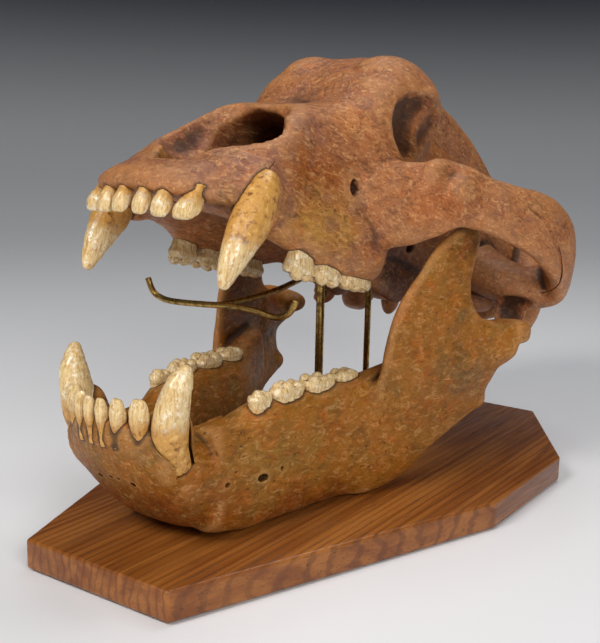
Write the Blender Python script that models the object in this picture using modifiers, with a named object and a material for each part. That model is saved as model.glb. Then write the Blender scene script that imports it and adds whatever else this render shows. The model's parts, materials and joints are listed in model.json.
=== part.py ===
"""Cave bear skull, life size, jaws agape on a wooden base with brass rods.

Metres, +Z up.  The snout points to -Y and the animal's left side to +X.  The origin is the
bottom centre of the wooden base.  The bones are worked in their own frames, in centimetres:
x to the animal's left, s backwards from the front of the bone, z up.  The cranium's frame
starts at the front of the upper tooth row and the jaw's at the front of the lower one.
"""
import math

import bmesh
import bpy
from mathutils import Matrix, Vector

# ---------------------------------------------------------------- driving dimensions
CM = 0.01
GAP = 0.0003                      # clearance between touching parts
GRAIN = 0.00017                   # remeshed points settle on a grid this fine

BASE_LENGTH = 0.4530
BASE_THICKNESS = 0.0190
BASE_FRONT_HALF = 0.0565          # half width of the front edge
BASE_HALF = 0.1420                # half width where the sides run parallel
BASE_BACK_HALF = 0.0780
BASE_FLARE_END = 0.2305           # behind the front edge
BASE_TAPER_START = 0.3480
BASE_EDGE_ROUND = 0.0022

JAW_TILT = math.radians(2.6)      # nose-up tilt of each bone on the stand
JAW_ORIGIN = (0.0, -0.2162, 0.1005)
CRANIUM_TILT = math.radians(17.0)
CRANIUM_ORIGIN = (0.0, -0.1930, 0.2237)

ROD_FRONT_Y = -0.0010
ROD_FRONT_RADIUS = 0.0030
ROD_FRONT_TOP = 0.1800
ROD_BACK_Y = 0.0660
ROD_BACK_RADIUS = 0.0024
ROD_BACK_TOP = 0.1840
ROD_SEAT = 0.008                  # depth of each rod's foot in the board
CRADLE_RADIUS = 0.0020
CRADLE_FORWARD = -0.1170          # y of the crossbar that the rostrum hangs over
CRADLE_HALF = 0.0590
CRADLE_Z = 0.1505

VOXEL = 0.0030                    # grain of the fused bones
CRANIUM_SHARE = 0.028             # share of the fused faces that each bone keeps
JAW_SHARE = 0.031

MUZZLE_END = 14.84                # cuts between the cranium's parts, in cm of its frame
FOREHEAD_END = 24.5
ARCH_STOP = 37.0
ARCH_INNER = 6.3
ARCH_TOP = 10.4
FAR = 60.0                        # beyond every part


def bone_frame(origin, tilt):
    """Centimetres of a bone's own frame to metres of the model."""
    return Matrix.Translation(origin) @ Matrix.Rotation(-tilt, 4, "X") @ Matrix.Scale(CM, 4)


CRANIUM = bone_frame(CRANIUM_ORIGIN, CRANIUM_TILT)
JAW = bone_frame(JAW_ORIGIN, JAW_TILT)

# ---------------------------------------------------------------- the cranium's shape
# s, palate z, tooth edge x and z, widest x and z, brow x and z, crown z
CRANIUM_SECTIONS = [
    (-0.35, 0.50, 1.2, 0.50, 1.7, 0.80, 1.1, 1.15, 1.25),
    (0.30, 0.45, 2.6, 0.40, 3.1, 0.90, 2.2, 1.60, 1.90),
    (1.50, 0.40, 3.5, 0.35, 4.0, 1.00, 2.7, 2.20, 2.50),
    (3.00, 0.40, 4.1, 0.30, 4.7, 1.30, 3.2, 3.10, 3.30),
    (5.00, 0.50, 4.5, 0.10, 5.4, 2.00, 3.7, 4.60, 4.80),
    (7.00, 0.70, 4.5, -0.20, 5.4, 2.60, 4.0, 6.00, 6.20),
    (9.00, 0.80, 4.7, -0.60, 5.2, 2.80, 3.8, 7.40, 7.80),
    (10.0, 0.90, 5.0, -0.90, 5.2, 2.90, 3.6, 8.00, 8.50),
    (12.0, 1.00, 5.3, -1.10, 5.3, 3.40, 3.7, 8.60, 9.20),
    (14.0, 1.10, 5.6, -1.15, 5.5, 4.20, 4.0, 9.50, 9.90),
    (15.0, 1.10, 5.7, -1.15, 5.7, 4.60, 4.3, 10.7, 11.0),
    (16.0, 1.10, 5.7, -1.10, 5.8, 4.80, 4.7, 11.9, 12.5),
    (18.0, 1.10, 5.6, -0.90, 5.9, 5.00, 5.1, 12.9, 14.2),
    (19.4, 1.10, 4.9, -0.40, 5.6, 5.00, 5.3, 13.2, 15.0),
    (20.6, 1.20, 4.0, 0.40, 4.9, 5.20, 5.4, 13.3, 15.5),
    (22.0, 1.30, 3.6, 1.10, 4.4, 5.50, 5.2, 13.2, 15.9),
    (24.0, 1.80, 3.3, 1.80, 3.9, 6.00, 4.2, 13.2, 16.2),
    (26.0, 1.80, 3.2, 2.00, 3.8, 6.50, 3.0, 12.6, 16.1),
    (28.0, 1.60, 3.6, 2.00, 4.3, 6.90, 2.7, 11.6, 14.8),
    (31.0, 1.30, 4.4, 2.20, 5.2, 6.80, 3.5, 10.6, 12.6),
    (34.0, 1.00, 4.8, 1.80, 5.8, 6.30, 3.9, 10.2, 11.8),
    (37.0, 0.80, 5.2, 1.60, 6.0, 5.80, 3.9, 9.80, 11.3),
    (40.0, 0.70, 5.4, 1.60, 6.2, 5.20, 4.0, 9.20, 10.9),
    (42.6, 0.90, 4.9, 1.80, 6.4, 4.80, 4.4, 9.00, 11.2),
    (44.2, 1.60, 3.6, 2.60, 4.8, 5.00, 3.4, 9.20, 11.6),
    (45.0, 3.60, 2.0, 4.20, 2.8, 5.60, 2.2, 8.60, 11.4),
]
# centre x, s, z, half thickness, half height
ZYGOMATIC_ARCH = [
    (4.6, 15.4, 4.3, 1.5, 2.5),
    (6.0, 17.5, 4.2, 1.4, 2.9),
    (7.4, 19.3, 5.0, 1.1, 2.7),
    (8.8, 21.2, 5.9, 0.9, 2.3),
    (10.2, 23.3, 5.9, 0.8, 2.0),
    (11.4, 25.6, 5.8, 0.8, 2.1),
    (12.3, 28.2, 5.7, 0.9, 2.4),
    (12.7, 30.8, 5.2, 1.0, 2.5),
    (12.5, 33.2, 4.2, 1.1, 2.4),
    (11.5, 34.9, 2.8, 1.3, 1.9),
    (9.8, 34.8, 2.0, 2.2, 1.6),
    (7.6, 34.2, 2.3, 2.8, 1.7),
    (5.4, 34.0, 3.2, 3.0, 2.0),
]
# s, z of the top edge, z of the root, half thickness at the root
SAGITTAL_CREST = [
    (25.0, 16.4, 12.0, 2.0),
    (29.0, 16.6, 11.0, 1.4),
    (33.0, 16.3, 10.0, 1.1),
    (36.5, 15.9, 9.6, 1.0),
    (40.0, 15.2, 9.0, 1.0),
    (43.5, 14.1, 8.4, 1.2),
    (45.4, 13.0, 9.4, 1.2),
]
# centre x, s, z, half width, half depth
NUCHAL_CREST = [
    (0.0, 45.1, 12.0, 1.4, 1.0),
    (2.4, 44.7, 11.2, 1.4, 0.9),
    (4.6, 43.3, 9.0, 1.4, 0.9),
    (6.2, 41.7, 6.4, 1.5, 1.1),
    (7.2, 40.2, 3.4, 1.7, 1.4),
    (7.8, 38.9, 0.6, 1.6, 1.5),
    (7.8, 38.6, -1.2, 1.0, 1.0),
]
# centre x, s, z and radii: lumps that grow out of both sides of the cranium
CRANIUM_LUMPS = [
    (3.2, 21.2, 12.4, 3.1, 5.4, 3.1),      # frontal boss
    (5.3, 21.2, 12.7, 1.1, 1.6, 1.1),      # postorbital process
    (8.6, 20.6, 7.7, 0.9, 1.5, 1.5),       # orbital process of the cheek bone
    (4.7, 5.6, 2.2, 1.1, 2.0, 2.6),        # canine root
    (2.6, 43.6, 1.3, 1.5, 1.3, 1.5),       # occipital condyle
    (5.6, 41.0, 0.5, 0.9, 0.9, 1.8),       # process beside the condyle
    (4.4, 36.6, 0.7, 1.7, 2.2, 1.0),       # ear capsule
    (8.8, 34.4, -0.3, 1.4, 0.8, 1.4),      # process behind the jaw joint
]
# centre x, s, z, half thickness, half height
PTERYGOID_PLATE = [
    (3.4, 19.0, 1.4, 1.0, 1.4),
    (2.9, 22.0, 1.0, 0.6, 1.8),
    (2.6, 25.0, 0.6, 0.5, 1.9),
    (2.5, 27.2, 0.6, 0.5, 2.0),
    (2.8, 30.0, 1.6, 0.7, 1.2),
]
# z, front s, back s, half width of the open nose
NOSE_OPENING = [
    (2.1, 4.2, 8.6, 2.3),
    (3.5, 3.6, 8.9, 2.9),
    (6.0, 3.4, 9.1, 3.2),
    (8.0, 3.2, 9.2, 3.1),
    (12.0, 3.2, 9.3, 2.6),
]
# s, half width, floor z, roof z of the nasal passage
NOSE_PASSAGE = [
    (2.0, 1.0, 2.2, 4.0),
    (5.0, 2.4, 2.0, 6.0),
    (8.5, 2.8, 2.2, 7.8),
    (12.0, 2.7, 2.6, 8.0),
    (15.5, 2.2, 3.0, 7.8),
    (18.0, 1.2, 3.8, 6.8),
]
# s, half width, floor z, roof z of the throat opening behind the palate
THROAT = [
    (20.6, 1.3, 2.0, 2.8),
    (22.4, 1.8, -0.5, 3.4),
    (25.0, 1.9, -2.0, 3.2),
    (28.0, 2.0, -2.0, 2.4),
    (30.5, 1.8, -1.5, 1.2),
]
NOSE_FRONT = ((0.0, 3.6, 4.4), (1.7, 2.3, 2.2))
NOSE_LOBE = ((1.3, 8.1, 8.0), (1.9, 1.8, 2.4))
ORBIT = ((6.6, 19.9, 10.1), (2.3, 3.6, 2.8))
JAW_JOINT_HOLLOW = ((9.8, 33.2, -0.4), (2.6, 1.5, 1.5))
SPINAL_OPENING = ((0.0, 44.6, 3.0), (1.4, 3.0, 1.2))

# ---------------------------------------------------------------- the jaw's shape
# s, half width, top z, bottom z of the chin where both halves are one
CHIN = [
    (-0.65, 1.3, 0.45, -0.9),
    (0.00, 2.6, 0.45, -2.1),
    (1.00, 3.5, 0.45, -3.6),
    (2.20, 4.0, 0.25, -5.0),
    (3.60, 4.2, -0.35, -6.4),
    (5.00, 4.2, -0.80, -7.2),
    (6.60, 4.2, -0.80, -7.7),
    (8.40, 3.9, -0.60, -7.6),
]
# s, centre x, half thickness, top z, bottom z of each jaw body
JAW_BODY = [
    (5.0, 3.0, 1.4, -0.8, -7.2),
    (7.0, 3.2, 1.4, -0.6, -7.6),
    (9.0, 3.7, 1.4, 0.25, -7.6),
    (12.0, 4.2, 1.4, 0.45, -7.5),
    (15.0, 4.7, 1.45, 0.55, -7.4),
    (18.0, 5.4, 1.7, 0.75, -7.3),
    (20.5, 6.3, 1.5, 1.4, -7.1),
    (23.0, 7.0, 1.1, 2.0, -6.0),
]
# z, front x and s, back x and s, half thickness of the upright part of the jaw
JAW_RAMUS = [
    (-7.3, 5.6, 16.8, 6.2, 20.4, 0.8),
    (-6.3, 5.9, 17.0, 7.2, 22.3, 0.9),
    (-5.0, 6.2, 17.2, 7.9, 23.8, 0.9),
    (-3.7, 6.4, 17.3, 8.7, 26.4, 0.8),
    (-2.6, 6.6, 17.4, 9.2, 29.2, 0.75),
    (-1.4, 6.8, 17.6, 9.6, 29.4, 0.75),
    (0.0, 6.9, 17.9, 10.1, 29.9, 0.7),
    (1.5, 7.1, 18.2, 10.5, 30.6, 0.7),
    (3.0, 7.15, 18.5, 10.3, 30.2, 0.65),
    (4.4, 7.3, 18.8, 9.7, 27.4, 0.6),
    (6.0, 7.6, 19.5, 9.3, 26.5, 0.5),
    (8.0, 8.1, 21.1, 9.2, 26.9, 0.5),
    (9.4, 8.4, 22.4, 9.1, 27.7, 0.45),
    (10.4, 8.7, 24.2, 9.0, 27.7, 0.4),
    (11.0, 8.8, 25.8, 8.9, 27.3, 0.3),
]
# centre x, s, z, radii in s and z of the joint roller
JAW_CONDYLE = [
    (8.0, 30.6, 2.8, 0.7, 0.6),
    (9.1, 30.8, 2.8, 1.0, 0.9),
    (10.9, 30.6, 3.0, 1.1, 1.0),
    (12.2, 30.5, 3.2, 0.8, 0.8),
]
# centre x, s, z, half thickness, half height of the shelf that carries the roller
JAW_NECK = [
    (8.8, 25.8, 2.2, 0.75, 2.0),
    (9.8, 28.3, 2.1, 1.1, 2.0),
    (10.5, 30.3, 2.3, 1.7, 1.4),
]
JAW_LUMPS = [
    (3.3, 2.1, -1.2, 1.0, 1.5, 2.5),       # canine root
    (9.2, 28.8, -2.0, 0.75, 0.9, 0.8),     # angular process
]
MASSETER_HOLLOW = ((11.1, 24.2, 3.0), (2.2, 3.4, 5.4))
TONGUE_HOLLOW = [
    # s, half width, floor z, roof z
    (1.8, 1.2, -0.9, 2.0),
    (4.0, 1.8, -2.6, 2.0),
    (7.0, 1.7, -4.8, 2.0),
    (9.6, 1.9, -8.5, 2.0),
    (13.0, 2.6, -9.0, 2.0),
]

# ---------------------------------------------------------------- teeth
# centre x, s, z, half width, half depth from root to tip
UPPER_CANINE = [
    (4.9, 6.0, 3.2, 0.7, 0.8),
    (5.1, 5.0, 2.3, 0.85, 0.95),
    (5.25, 4.55, 1.1, 0.95, 1.1),
    (5.25, 4.1, -0.3, 0.95, 1.15),
    (5.25, 3.4, -2.0, 0.75, 0.85),
    (5.25, 3.05, -3.1, 0.5, 0.6),
    (5.2, 2.95, -4.1, 0.2, 0.25),
]
LOWER_CANINE = [
    (3.45, 2.5, -2.4, 0.7, 0.85),
    (3.4, 1.9, -1.4, 0.9, 1.05),
    (3.5, 1.55, -0.3, 0.98, 1.12),
    (3.7, 1.45, 0.8, 0.92, 1.05),
    (3.95, 1.45, 1.8, 0.8, 0.92),
    (4.15, 1.6, 2.8, 0.6, 0.66),
    (4.35, 1.88, 3.6, 0.25, 0.28),
]
# x, s of the root, x, s, z of the tip, half width, half depth
UPPER_INCISORS = [
    (0.75, 0.35, 0.75, 0.0, -0.95, 0.45, 0.5),
    (2.0, 0.6, 2.05, 0.2, -0.95, 0.5, 0.55),
    (3.35, 1.6, 3.25, 0.75, -0.8, 0.62, 0.7),
]
LOWER_INCISORS = [
    (0.45, -0.2, 0.45, -0.75, 1.5, 0.3, 0.45),
    (1.3, 0.0, 1.4, -0.45, 1.6, 0.38, 0.5),
    (2.3, 0.5, 2.5, 0.1, 1.65, 0.5, 0.55),
]
# front s, back s, x at the front and at the back, half width, crown z, gum z
UPPER_CHEEK_TEETH = [
    (9.3, 11.7, 4.6, 4.7, 0.7, -2.3, -1.0),
    (11.8, 14.7, 4.75, 4.75, 0.85, -2.15, -1.0),
    (14.8, 19.0, 4.75, 4.5, 0.95, -1.9, -0.8),
]
LOWER_CHEEK_TEETH = [
    (8.1, 9.9, 4.0, 4.1, 0.55, 1.0, 0.1),
    (10.0, 12.8, 4.2, 4.45, 0.65, 1.3, 0.2),
    (12.9, 15.8, 4.5, 4.7, 0.8, 1.4, 0.3),
    (15.9, 18.4, 4.8, 4.9, 0.72, 1.4, 0.5),
]


# ---------------------------------------------------------------- curves and rings
def catmull(a, b, c, d, t):
    """A value between b and c on the smooth curve through a, b, c and d."""
    return 0.5 * (2 * b + (c - a) * t + (2 * a - 5 * b + 4 * c - d) * t * t
                  + (3 * b - a - 3 * c + d) * t * t * t)


def smooth_rows(rows, steps):
    """The rows with `steps` - 1 more between each pair, on smooth curves."""
    last = len(rows) - 1
    out = []
    for i in range(last):
        four = [rows[max(i - 1, 0)], rows[i], rows[i + 1], rows[min(i + 2, last)]]
        out += [[catmull(*values, k / steps) for values in zip(*four)] for k in range(steps)]
    return out + [list(rows[last])]


def smooth_ring(points, steps):
    """A closed smooth ring through the points."""
    count = len(points)
    ring = []
    for i in range(count):
        four = [points[(i + k - 1) % count] for k in range(4)]
        ring += [Vector([catmull(*values, k / steps) for values in zip(*four)])
                 for k in range(steps)]
    return ring


def oval(centre, side, up, corners=2.0, count=16):
    """A ring with two half axes; more than 2 corners makes it boxier."""
    ring = []
    for i in range(count):
        angle = 2 * math.pi * (i + 0.5) / count
        cosine, sine = math.cos(angle), math.sin(angle)
        across = math.copysign(abs(cosine) ** (2 / corners), cosine)
        upward = math.copysign(abs(sine) ** (2 / corners), sine)
        ring.append(centre + side * across + up * upward)
    return ring


# ---------------------------------------------------------------- solids of one bone
def add_loft(bm, rings):
    """Skins a row of rings that have the same number of points, and closes both ends."""
    hoops = []
    for ring in rings:
        verts = bmesh.ops.create_circle(bm, segments=len(ring), radius=1.0)["verts"]
        for vert, place in zip(verts, ring):
            vert.co = place
        hoops.append(list({edge for vert in verts for edge in vert.link_edges}))
    for first, second in zip(hoops, hoops[1:]):
        bmesh.ops.bridge_loops(bm, edges=first + second)
    for hoop in (hoops[0], hoops[-1]):
        bmesh.ops.edgeloop_fill(bm, edges=hoop)


def add_sweep(bm, rows, steps=3, corners=2.0, count=16, side=1):
    """A bar along x, s, z rows with a half thickness and a half height at each."""
    rows = smooth_rows(rows, steps)
    centres = [Vector((side * row[0], row[1], row[2])) for row in rows]
    rings = []
    for i, row in enumerate(rows):
        ahead = centres[min(i + 1, len(rows) - 1)] - centres[max(i - 1, 0)]
        across = ahead.cross(Vector((0, 0, 1)))
        if across.length < 0.35 * ahead.length:
            across = Vector((0, 1, 0)).cross(ahead)
        across.normalize()
        upward = across.cross(ahead).normalized()
        rings.append(oval(centres[i], across * row[3], upward * row[4], corners, count))
    add_loft(bm, rings)


def add_passage(bm, rows, corners=2.4, count=20):
    """A closed tube along s from rows of s, half width, floor and roof."""
    rings = []
    for s, half, floor, roof in smooth_rows(rows, 3):
        centre = Vector((0, s, (floor + roof) / 2))
        rings.append(oval(centre, Vector((half, 0, 0)), Vector((0, 0, (roof - floor) / 2)),
                          corners, count))
    add_loft(bm, rings)


def add_lump(bm, centre, radii, side=1, detail=3):
    """An ellipsoid."""
    place = Matrix.Translation((side * centre[0], centre[1], centre[2]))
    stretch = Matrix.Diagonal((*radii, 1))
    bmesh.ops.create_icosphere(bm, subdivisions=detail, radius=1.0, matrix=place @ stretch)


def solid_object(name, bm, frame, collection):
    """An object from a bmesh worked in a bone's frame."""
    bmesh.ops.recalc_face_normals(bm, faces=bm.faces)
    bm.transform(frame)
    mesh = bpy.data.meshes.new(name)
    bm.to_mesh(mesh)
    bm.free()
    made = bpy.data.objects.new(name, mesh)
    collection.objects.link(made)
    return made


def apply_all(thing):
    """Replaces an object's mesh by what its modifiers make of it."""
    depsgraph = bpy.context.evaluated_depsgraph_get()
    finished = bpy.data.meshes.new_from_object(thing.evaluated_get(depsgraph))
    thing.modifiers.clear()
    thing.data = finished


def put_in_order(row, key):
    """Sorts the points, edges or faces of a mesh by a key."""
    for place, item in enumerate(sorted(row, key=key)):
        item.index = place
    row.sort()


def settle(thing):
    """Gives a mesh one fixed order, because a remesh leaves its order to chance."""
    bm = bmesh.new()
    bm.from_mesh(thing.data)
    for vert in bm.verts:
        vert.co = [round(value / GRAIN) * GRAIN for value in vert.co]
    put_in_order(bm.verts, lambda vert: tuple(vert.co))
    for row in (bm.edges, bm.faces):
        put_in_order(row, lambda item: tuple(sorted(vert.index for vert in item.verts)))
    bm.to_mesh(thing.data)
    bm.free()


def fuse(thing, voxel, rounds):
    """Melts overlapping solids into one skin and rounds the creases."""
    remesh = thing.modifiers.new("fuse", "REMESH")
    remesh.mode = "VOXEL"
    remesh.voxel_size = voxel
    apply_all(thing)
    settle(thing)
    soften = thing.modifiers.new("soften", "SMOOTH")
    soften.factor = 0.5
    soften.iterations = rounds
    apply_all(thing)


def thin(thing, share):
    """Keeps a share of the faces."""
    decimate = thing.modifiers.new("thin", "DECIMATE")
    decimate.ratio = share
    apply_all(thing)


def combine(thing, other, operation):
    """Joins another closed solid to this one, cuts it away or keeps what is common."""
    boolean = thing.modifiers.new(operation.lower(), "BOOLEAN")
    boolean.operation = operation
    boolean.object = other
    apply_all(thing)


# ---------------------------------------------------------------- the cranium
def cranium_ring(row):
    """One upright section of the cranium, from the palate round to the crown."""
    s, floor, edge_x, edge_z, side_x, side_z, brow_x, brow_z, crown = row
    half = [(edge_x, edge_z), (side_x, side_z), (brow_x, brow_z)]
    outline = [(0, floor)] + half + [(0, crown)] + [(-x, z) for x, z in reversed(half)]
    return smooth_ring([(x, s, z) for x, z in outline], 4)


def crest_ring(row):
    """One upright section of the crest, thick at its root and thin at its edge."""
    s, top, root, half = row
    return oval(Vector((0, s, (top + root) / 2)), Vector((half * 0.62, 0, 0)),
                Vector((0, 0, (top - root) / 2)), 1.5)


def cranium_solid(collection):
    bm = bmesh.new()
    add_loft(bm, [cranium_ring(row) for row in smooth_rows(CRANIUM_SECTIONS, 2)])
    add_loft(bm, [crest_ring(row) for row in smooth_rows(SAGITTAL_CREST, 2)])
    for side in (1, -1):
        add_sweep(bm, ZYGOMATIC_ARCH, side=side)
        add_sweep(bm, NUCHAL_CREST, side=side)
        add_sweep(bm, PTERYGOID_PLATE, side=side)
        for lump in CRANIUM_LUMPS:
            add_lump(bm, lump[:3], lump[3:], side)
    return solid_object("cranium", bm, CRANIUM, collection)


def cranium_hollows(collection):
    bm = bmesh.new()
    rings = []
    for z, front, back, half in smooth_rows(NOSE_OPENING, 2):
        rings.append(oval(Vector((0, (front + back) / 2, z)), Vector((half, 0, 0)),
                          Vector((0, (back - front) / 2, 0)), 2.4, 24))
    add_loft(bm, rings)
    add_passage(bm, NOSE_PASSAGE)
    add_passage(bm, THROAT)
    add_lump(bm, *SPINAL_OPENING)
    add_lump(bm, *NOSE_FRONT)
    for side in (1, -1):
        for hollow in (NOSE_LOBE, ORBIT, JAW_JOINT_HOLLOW):
            add_lump(bm, *hollow, side)
    return solid_object("cranium_hollows", bm, CRANIUM, collection)


# ---------------------------------------------------------------- the jaw
def ramus_ring(row, side):
    """One level section of the upright part of the jaw."""
    z, front_x, front_s, back_x, back_s, half = row
    front, back = Vector((side * front_x, front_s, z)), Vector((side * back_x, back_s, z))
    along = (back - front) / 2
    across = along.cross(Vector((0, 0, 1))).normalized() * half
    return oval((front + back) / 2, along, across, 2.6, 24)


def jaw_solid(collection):
    bm = bmesh.new()
    rings = []
    for s, half, top, bottom in smooth_rows(CHIN, 2):
        rings.append(oval(Vector((0, s, (top + bottom) / 2)), Vector((half, 0, 0)),
                          Vector((0, 0, (top - bottom) / 2)), 2.6, 24))
    add_loft(bm, rings)
    for side in (1, -1):
        rings = []
        for s, x, half, top, bottom in smooth_rows(JAW_BODY, 2):
            rings.append(oval(Vector((side * x, s, (top + bottom) / 2)), Vector((half, 0, 0)),
                              Vector((0, 0, (top - bottom) / 2)), 2.8, 20))
        add_loft(bm, rings)
        add_loft(bm, [ramus_ring(row, side) for row in smooth_rows(JAW_RAMUS, 2)])
        add_sweep(bm, JAW_CONDYLE, side=side)
        add_sweep(bm, JAW_NECK, side=side)
        for lump in JAW_LUMPS:
            add_lump(bm, lump[:3], lump[3:], side)
    return solid_object("jaw", bm, JAW, collection)


def jaw_hollows(collection):
    bm = bmesh.new()
    add_passage(bm, TONGUE_HOLLOW)
    for side in (1, -1):
        add_lump(bm, *MASSETER_HOLLOW, side)
    return solid_object("jaw_hollows", bm, JAW, collection)


# ---------------------------------------------------------------- teeth
def add_incisor(bm, row, root_z, side):
    x, s, tip_x, tip_s, tip_z, half, depth = row
    root = Vector((side * x, s, root_z))
    tip = Vector((side * tip_x, tip_s, tip_z))
    rings = []
    for share, width, thick in ((0, 0.8, 1.0), (0.45, 1.0, 1.0), (0.8, 0.95, 0.6), (1, 0.6, 0.25)):
        centre = root.lerp(tip, share)
        rings.append(oval(centre, Vector((side * half * width, 0, 0)),
                          Vector((0, depth * thick, 0)), 2.2, 6))
    add_loft(bm, rings)


def add_cheek_tooth(bm, row, root_z, side):
    front, back, front_x, back_x, half, crown, gum = row
    centre_x, centre_s = (front_x + back_x) / 2, (front + back) / 2
    lean = Vector((side * (back_x - front_x) / 2, (back - front) / 2, 0))
    rings = []
    for z, share in ((root_z, 0.8), (gum, 0.9), ((gum + crown) / 2, 1.0), (crown, 0.72)):
        rings.append(oval(Vector((side * centre_x, centre_s, z)), lean * share,
                          Vector((side * half * share, 0, 0)), 3.0, 8))
    add_loft(bm, rings)


def teeth(name, frame, canine, incisors, incisor_root, cheek_teeth, cheek_root, collection):
    bm = bmesh.new()
    for side in (1, -1):
        add_sweep(bm, canine, steps=1, count=8, side=side)
        for row in incisors:
            add_incisor(bm, row, incisor_root, side)
        for row in cheek_teeth:
            add_cheek_tooth(bm, row, cheek_root, side)
    return solid_object(name, bm, frame, collection)


# ---------------------------------------------------------------- cutting into named parts
def box_cutter(name, frame, low, high, collection):
    bm = bmesh.new()
    size = [b - a for a, b in zip(low, high)]
    middle = [(a + b) / 2 for a, b in zip(low, high)]
    bmesh.ops.create_cube(bm, size=1.0, matrix=Matrix.Translation(middle)
                          @ Matrix.Diagonal((*size, 1)))
    return solid_object(name, bm, frame, collection)


def side_box(side, inner, front, back, top, collection):
    """A box on one side of the cranium, from a distance off the midline outwards."""
    xs = sorted((side * inner, side * FAR))
    return box_cutter("side_box", CRANIUM, (xs[0], front, -FAR), (xs[1], back, top), collection)


def part_copy(whole, name, keep, drop, material, collection):
    """A copy of a whole bone that keeps what is in one box and loses what is in others."""
    thing = bpy.data.objects.new(name, whole.data.copy())
    collection.objects.link(thing)
    combine(thing, keep, "INTERSECT")
    for cutter in drop:
        combine(thing, cutter, "DIFFERENCE")
    thing.data.materials.clear()
    thing.data.materials.append(material)
    return thing


# ---------------------------------------------------------------- the stand
def base_outline():
    """Half widths of the board from its front edge to its back edge."""
    front = -BASE_LENGTH / 2
    side = [(BASE_FRONT_HALF, front), (BASE_HALF, front + BASE_FLARE_END),
            (BASE_HALF, front + BASE_TAPER_START), (BASE_BACK_HALF, front + BASE_LENGTH)]
    return side + [(-x, y) for x, y in reversed(side)]


def board(material, collection):
    outline = base_outline()
    bm = bmesh.new()
    verts = bmesh.ops.create_circle(bm, segments=len(outline), radius=1.0, cap_ends=True)["verts"]
    for vert, (x, y) in zip(verts, outline):
        vert.co = (x, y, 0.0)
    lifted = bmesh.ops.extrude_face_region(bm, geom=list(bm.faces))["geom"]
    bmesh.ops.translate(bm, vec=(0, 0, BASE_THICKNESS),
                        verts=[v for v in lifted if isinstance(v, bmesh.types.BMVert)])
    made = solid_object("stand_board", bm, Matrix(), collection)
    made.data.materials.append(material)
    rounding = made.modifiers.new("rounded edges", "BEVEL")
    rounding.width = BASE_EDGE_ROUND
    rounding.segments = 2
    return made


def wire(name, points, radius, material, collection):
    """A round bar along the points with closed ends."""
    curve = bpy.data.curves.new(name, "CURVE")
    curve.dimensions = "3D"
    curve.bevel_depth = radius
    curve.bevel_resolution = 2
    curve.use_fill_caps = True
    spline = curve.splines.new("POLY")
    spline.points.add(len(points) - 1)
    for point, place in zip(spline.points, points):
        point.co = (*place, 1.0)
    bent = bpy.data.objects.new(name, curve)
    collection.objects.link(bent)
    depsgraph = bpy.context.evaluated_depsgraph_get()
    bm = bmesh.new()
    bm.from_mesh(bpy.data.meshes.new_from_object(bent.evaluated_get(depsgraph)))
    bmesh.ops.remove_doubles(bm, verts=bm.verts, dist=0.0001)
    bpy.data.objects.remove(bent)
    made = solid_object(name, bm, Matrix(), collection)
    made.data.materials.append(material)
    return made


def cradle_points():
    """The crossbar under the rostrum, with its turned-up ends, from right to left."""
    rows = [(-1.0, 0.0120), (-0.93, 0.0042), (-0.80, 0.0004), (-0.60, -0.0006), (-0.2, 0.0006),
            (0.2, 0.0022), (0.5, 0.0016), (0.72, -0.0004), (0.86, 0.0010), (0.95, 0.0052),
            (1.0, 0.0110)]
    return [(x * CRADLE_HALF, CRADLE_FORWARD, CRADLE_Z + z) for x, z in smooth_rows(rows, 2)]


def arm_points():
    """The arm from the front rod to the crossbar's middle."""
    start = (0.0, ROD_FRONT_Y - ROD_FRONT_RADIUS - GAP, CRADLE_Z + 0.012)
    end = (0.0, CRADLE_FORWARD + 2 * CRADLE_RADIUS + GAP, CRADLE_Z + 0.0015)
    count = 8
    points = []
    for i in range(count + 1):
        share = i / count
        sag = 0.004 * math.sin(math.pi * share)
        points.append([a + (b - a) * share - (sag if axis == 2 else 0)
                       for axis, (a, b) in enumerate(zip(start, end))])
    return points


def rod_points(y, top):
    return [(0.0, y, BASE_THICKNESS - ROD_SEAT), (0.0, y, top)]


def hole_for(rod_y, radius, top, collection):
    """A cutter a little wider and longer than a rod."""
    bm = bmesh.new()
    bottom = BASE_THICKNESS - ROD_SEAT - GAP
    height = top + GAP - bottom
    middle = Matrix.Translation((0, rod_y, bottom + height / 2))
    bmesh.ops.create_cone(bm, cap_ends=True, segments=16, radius1=radius + 2 * GAP,
                          radius2=radius + 2 * GAP, depth=height, matrix=middle)
    return solid_object("rod_hole", bm, Matrix(), collection)


# ---------------------------------------------------------------- materials
def finish(name, colour, roughness, metallic=0.0):
    material = bpy.data.materials.new(name)
    material.use_nodes = True
    shader = material.node_tree.nodes["Principled BSDF"]
    shader.inputs["Base Color"].default_value = (*colour, 1.0)
    shader.inputs["Roughness"].default_value = roughness
    shader.inputs["Metallic"].default_value = metallic
    return material


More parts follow.
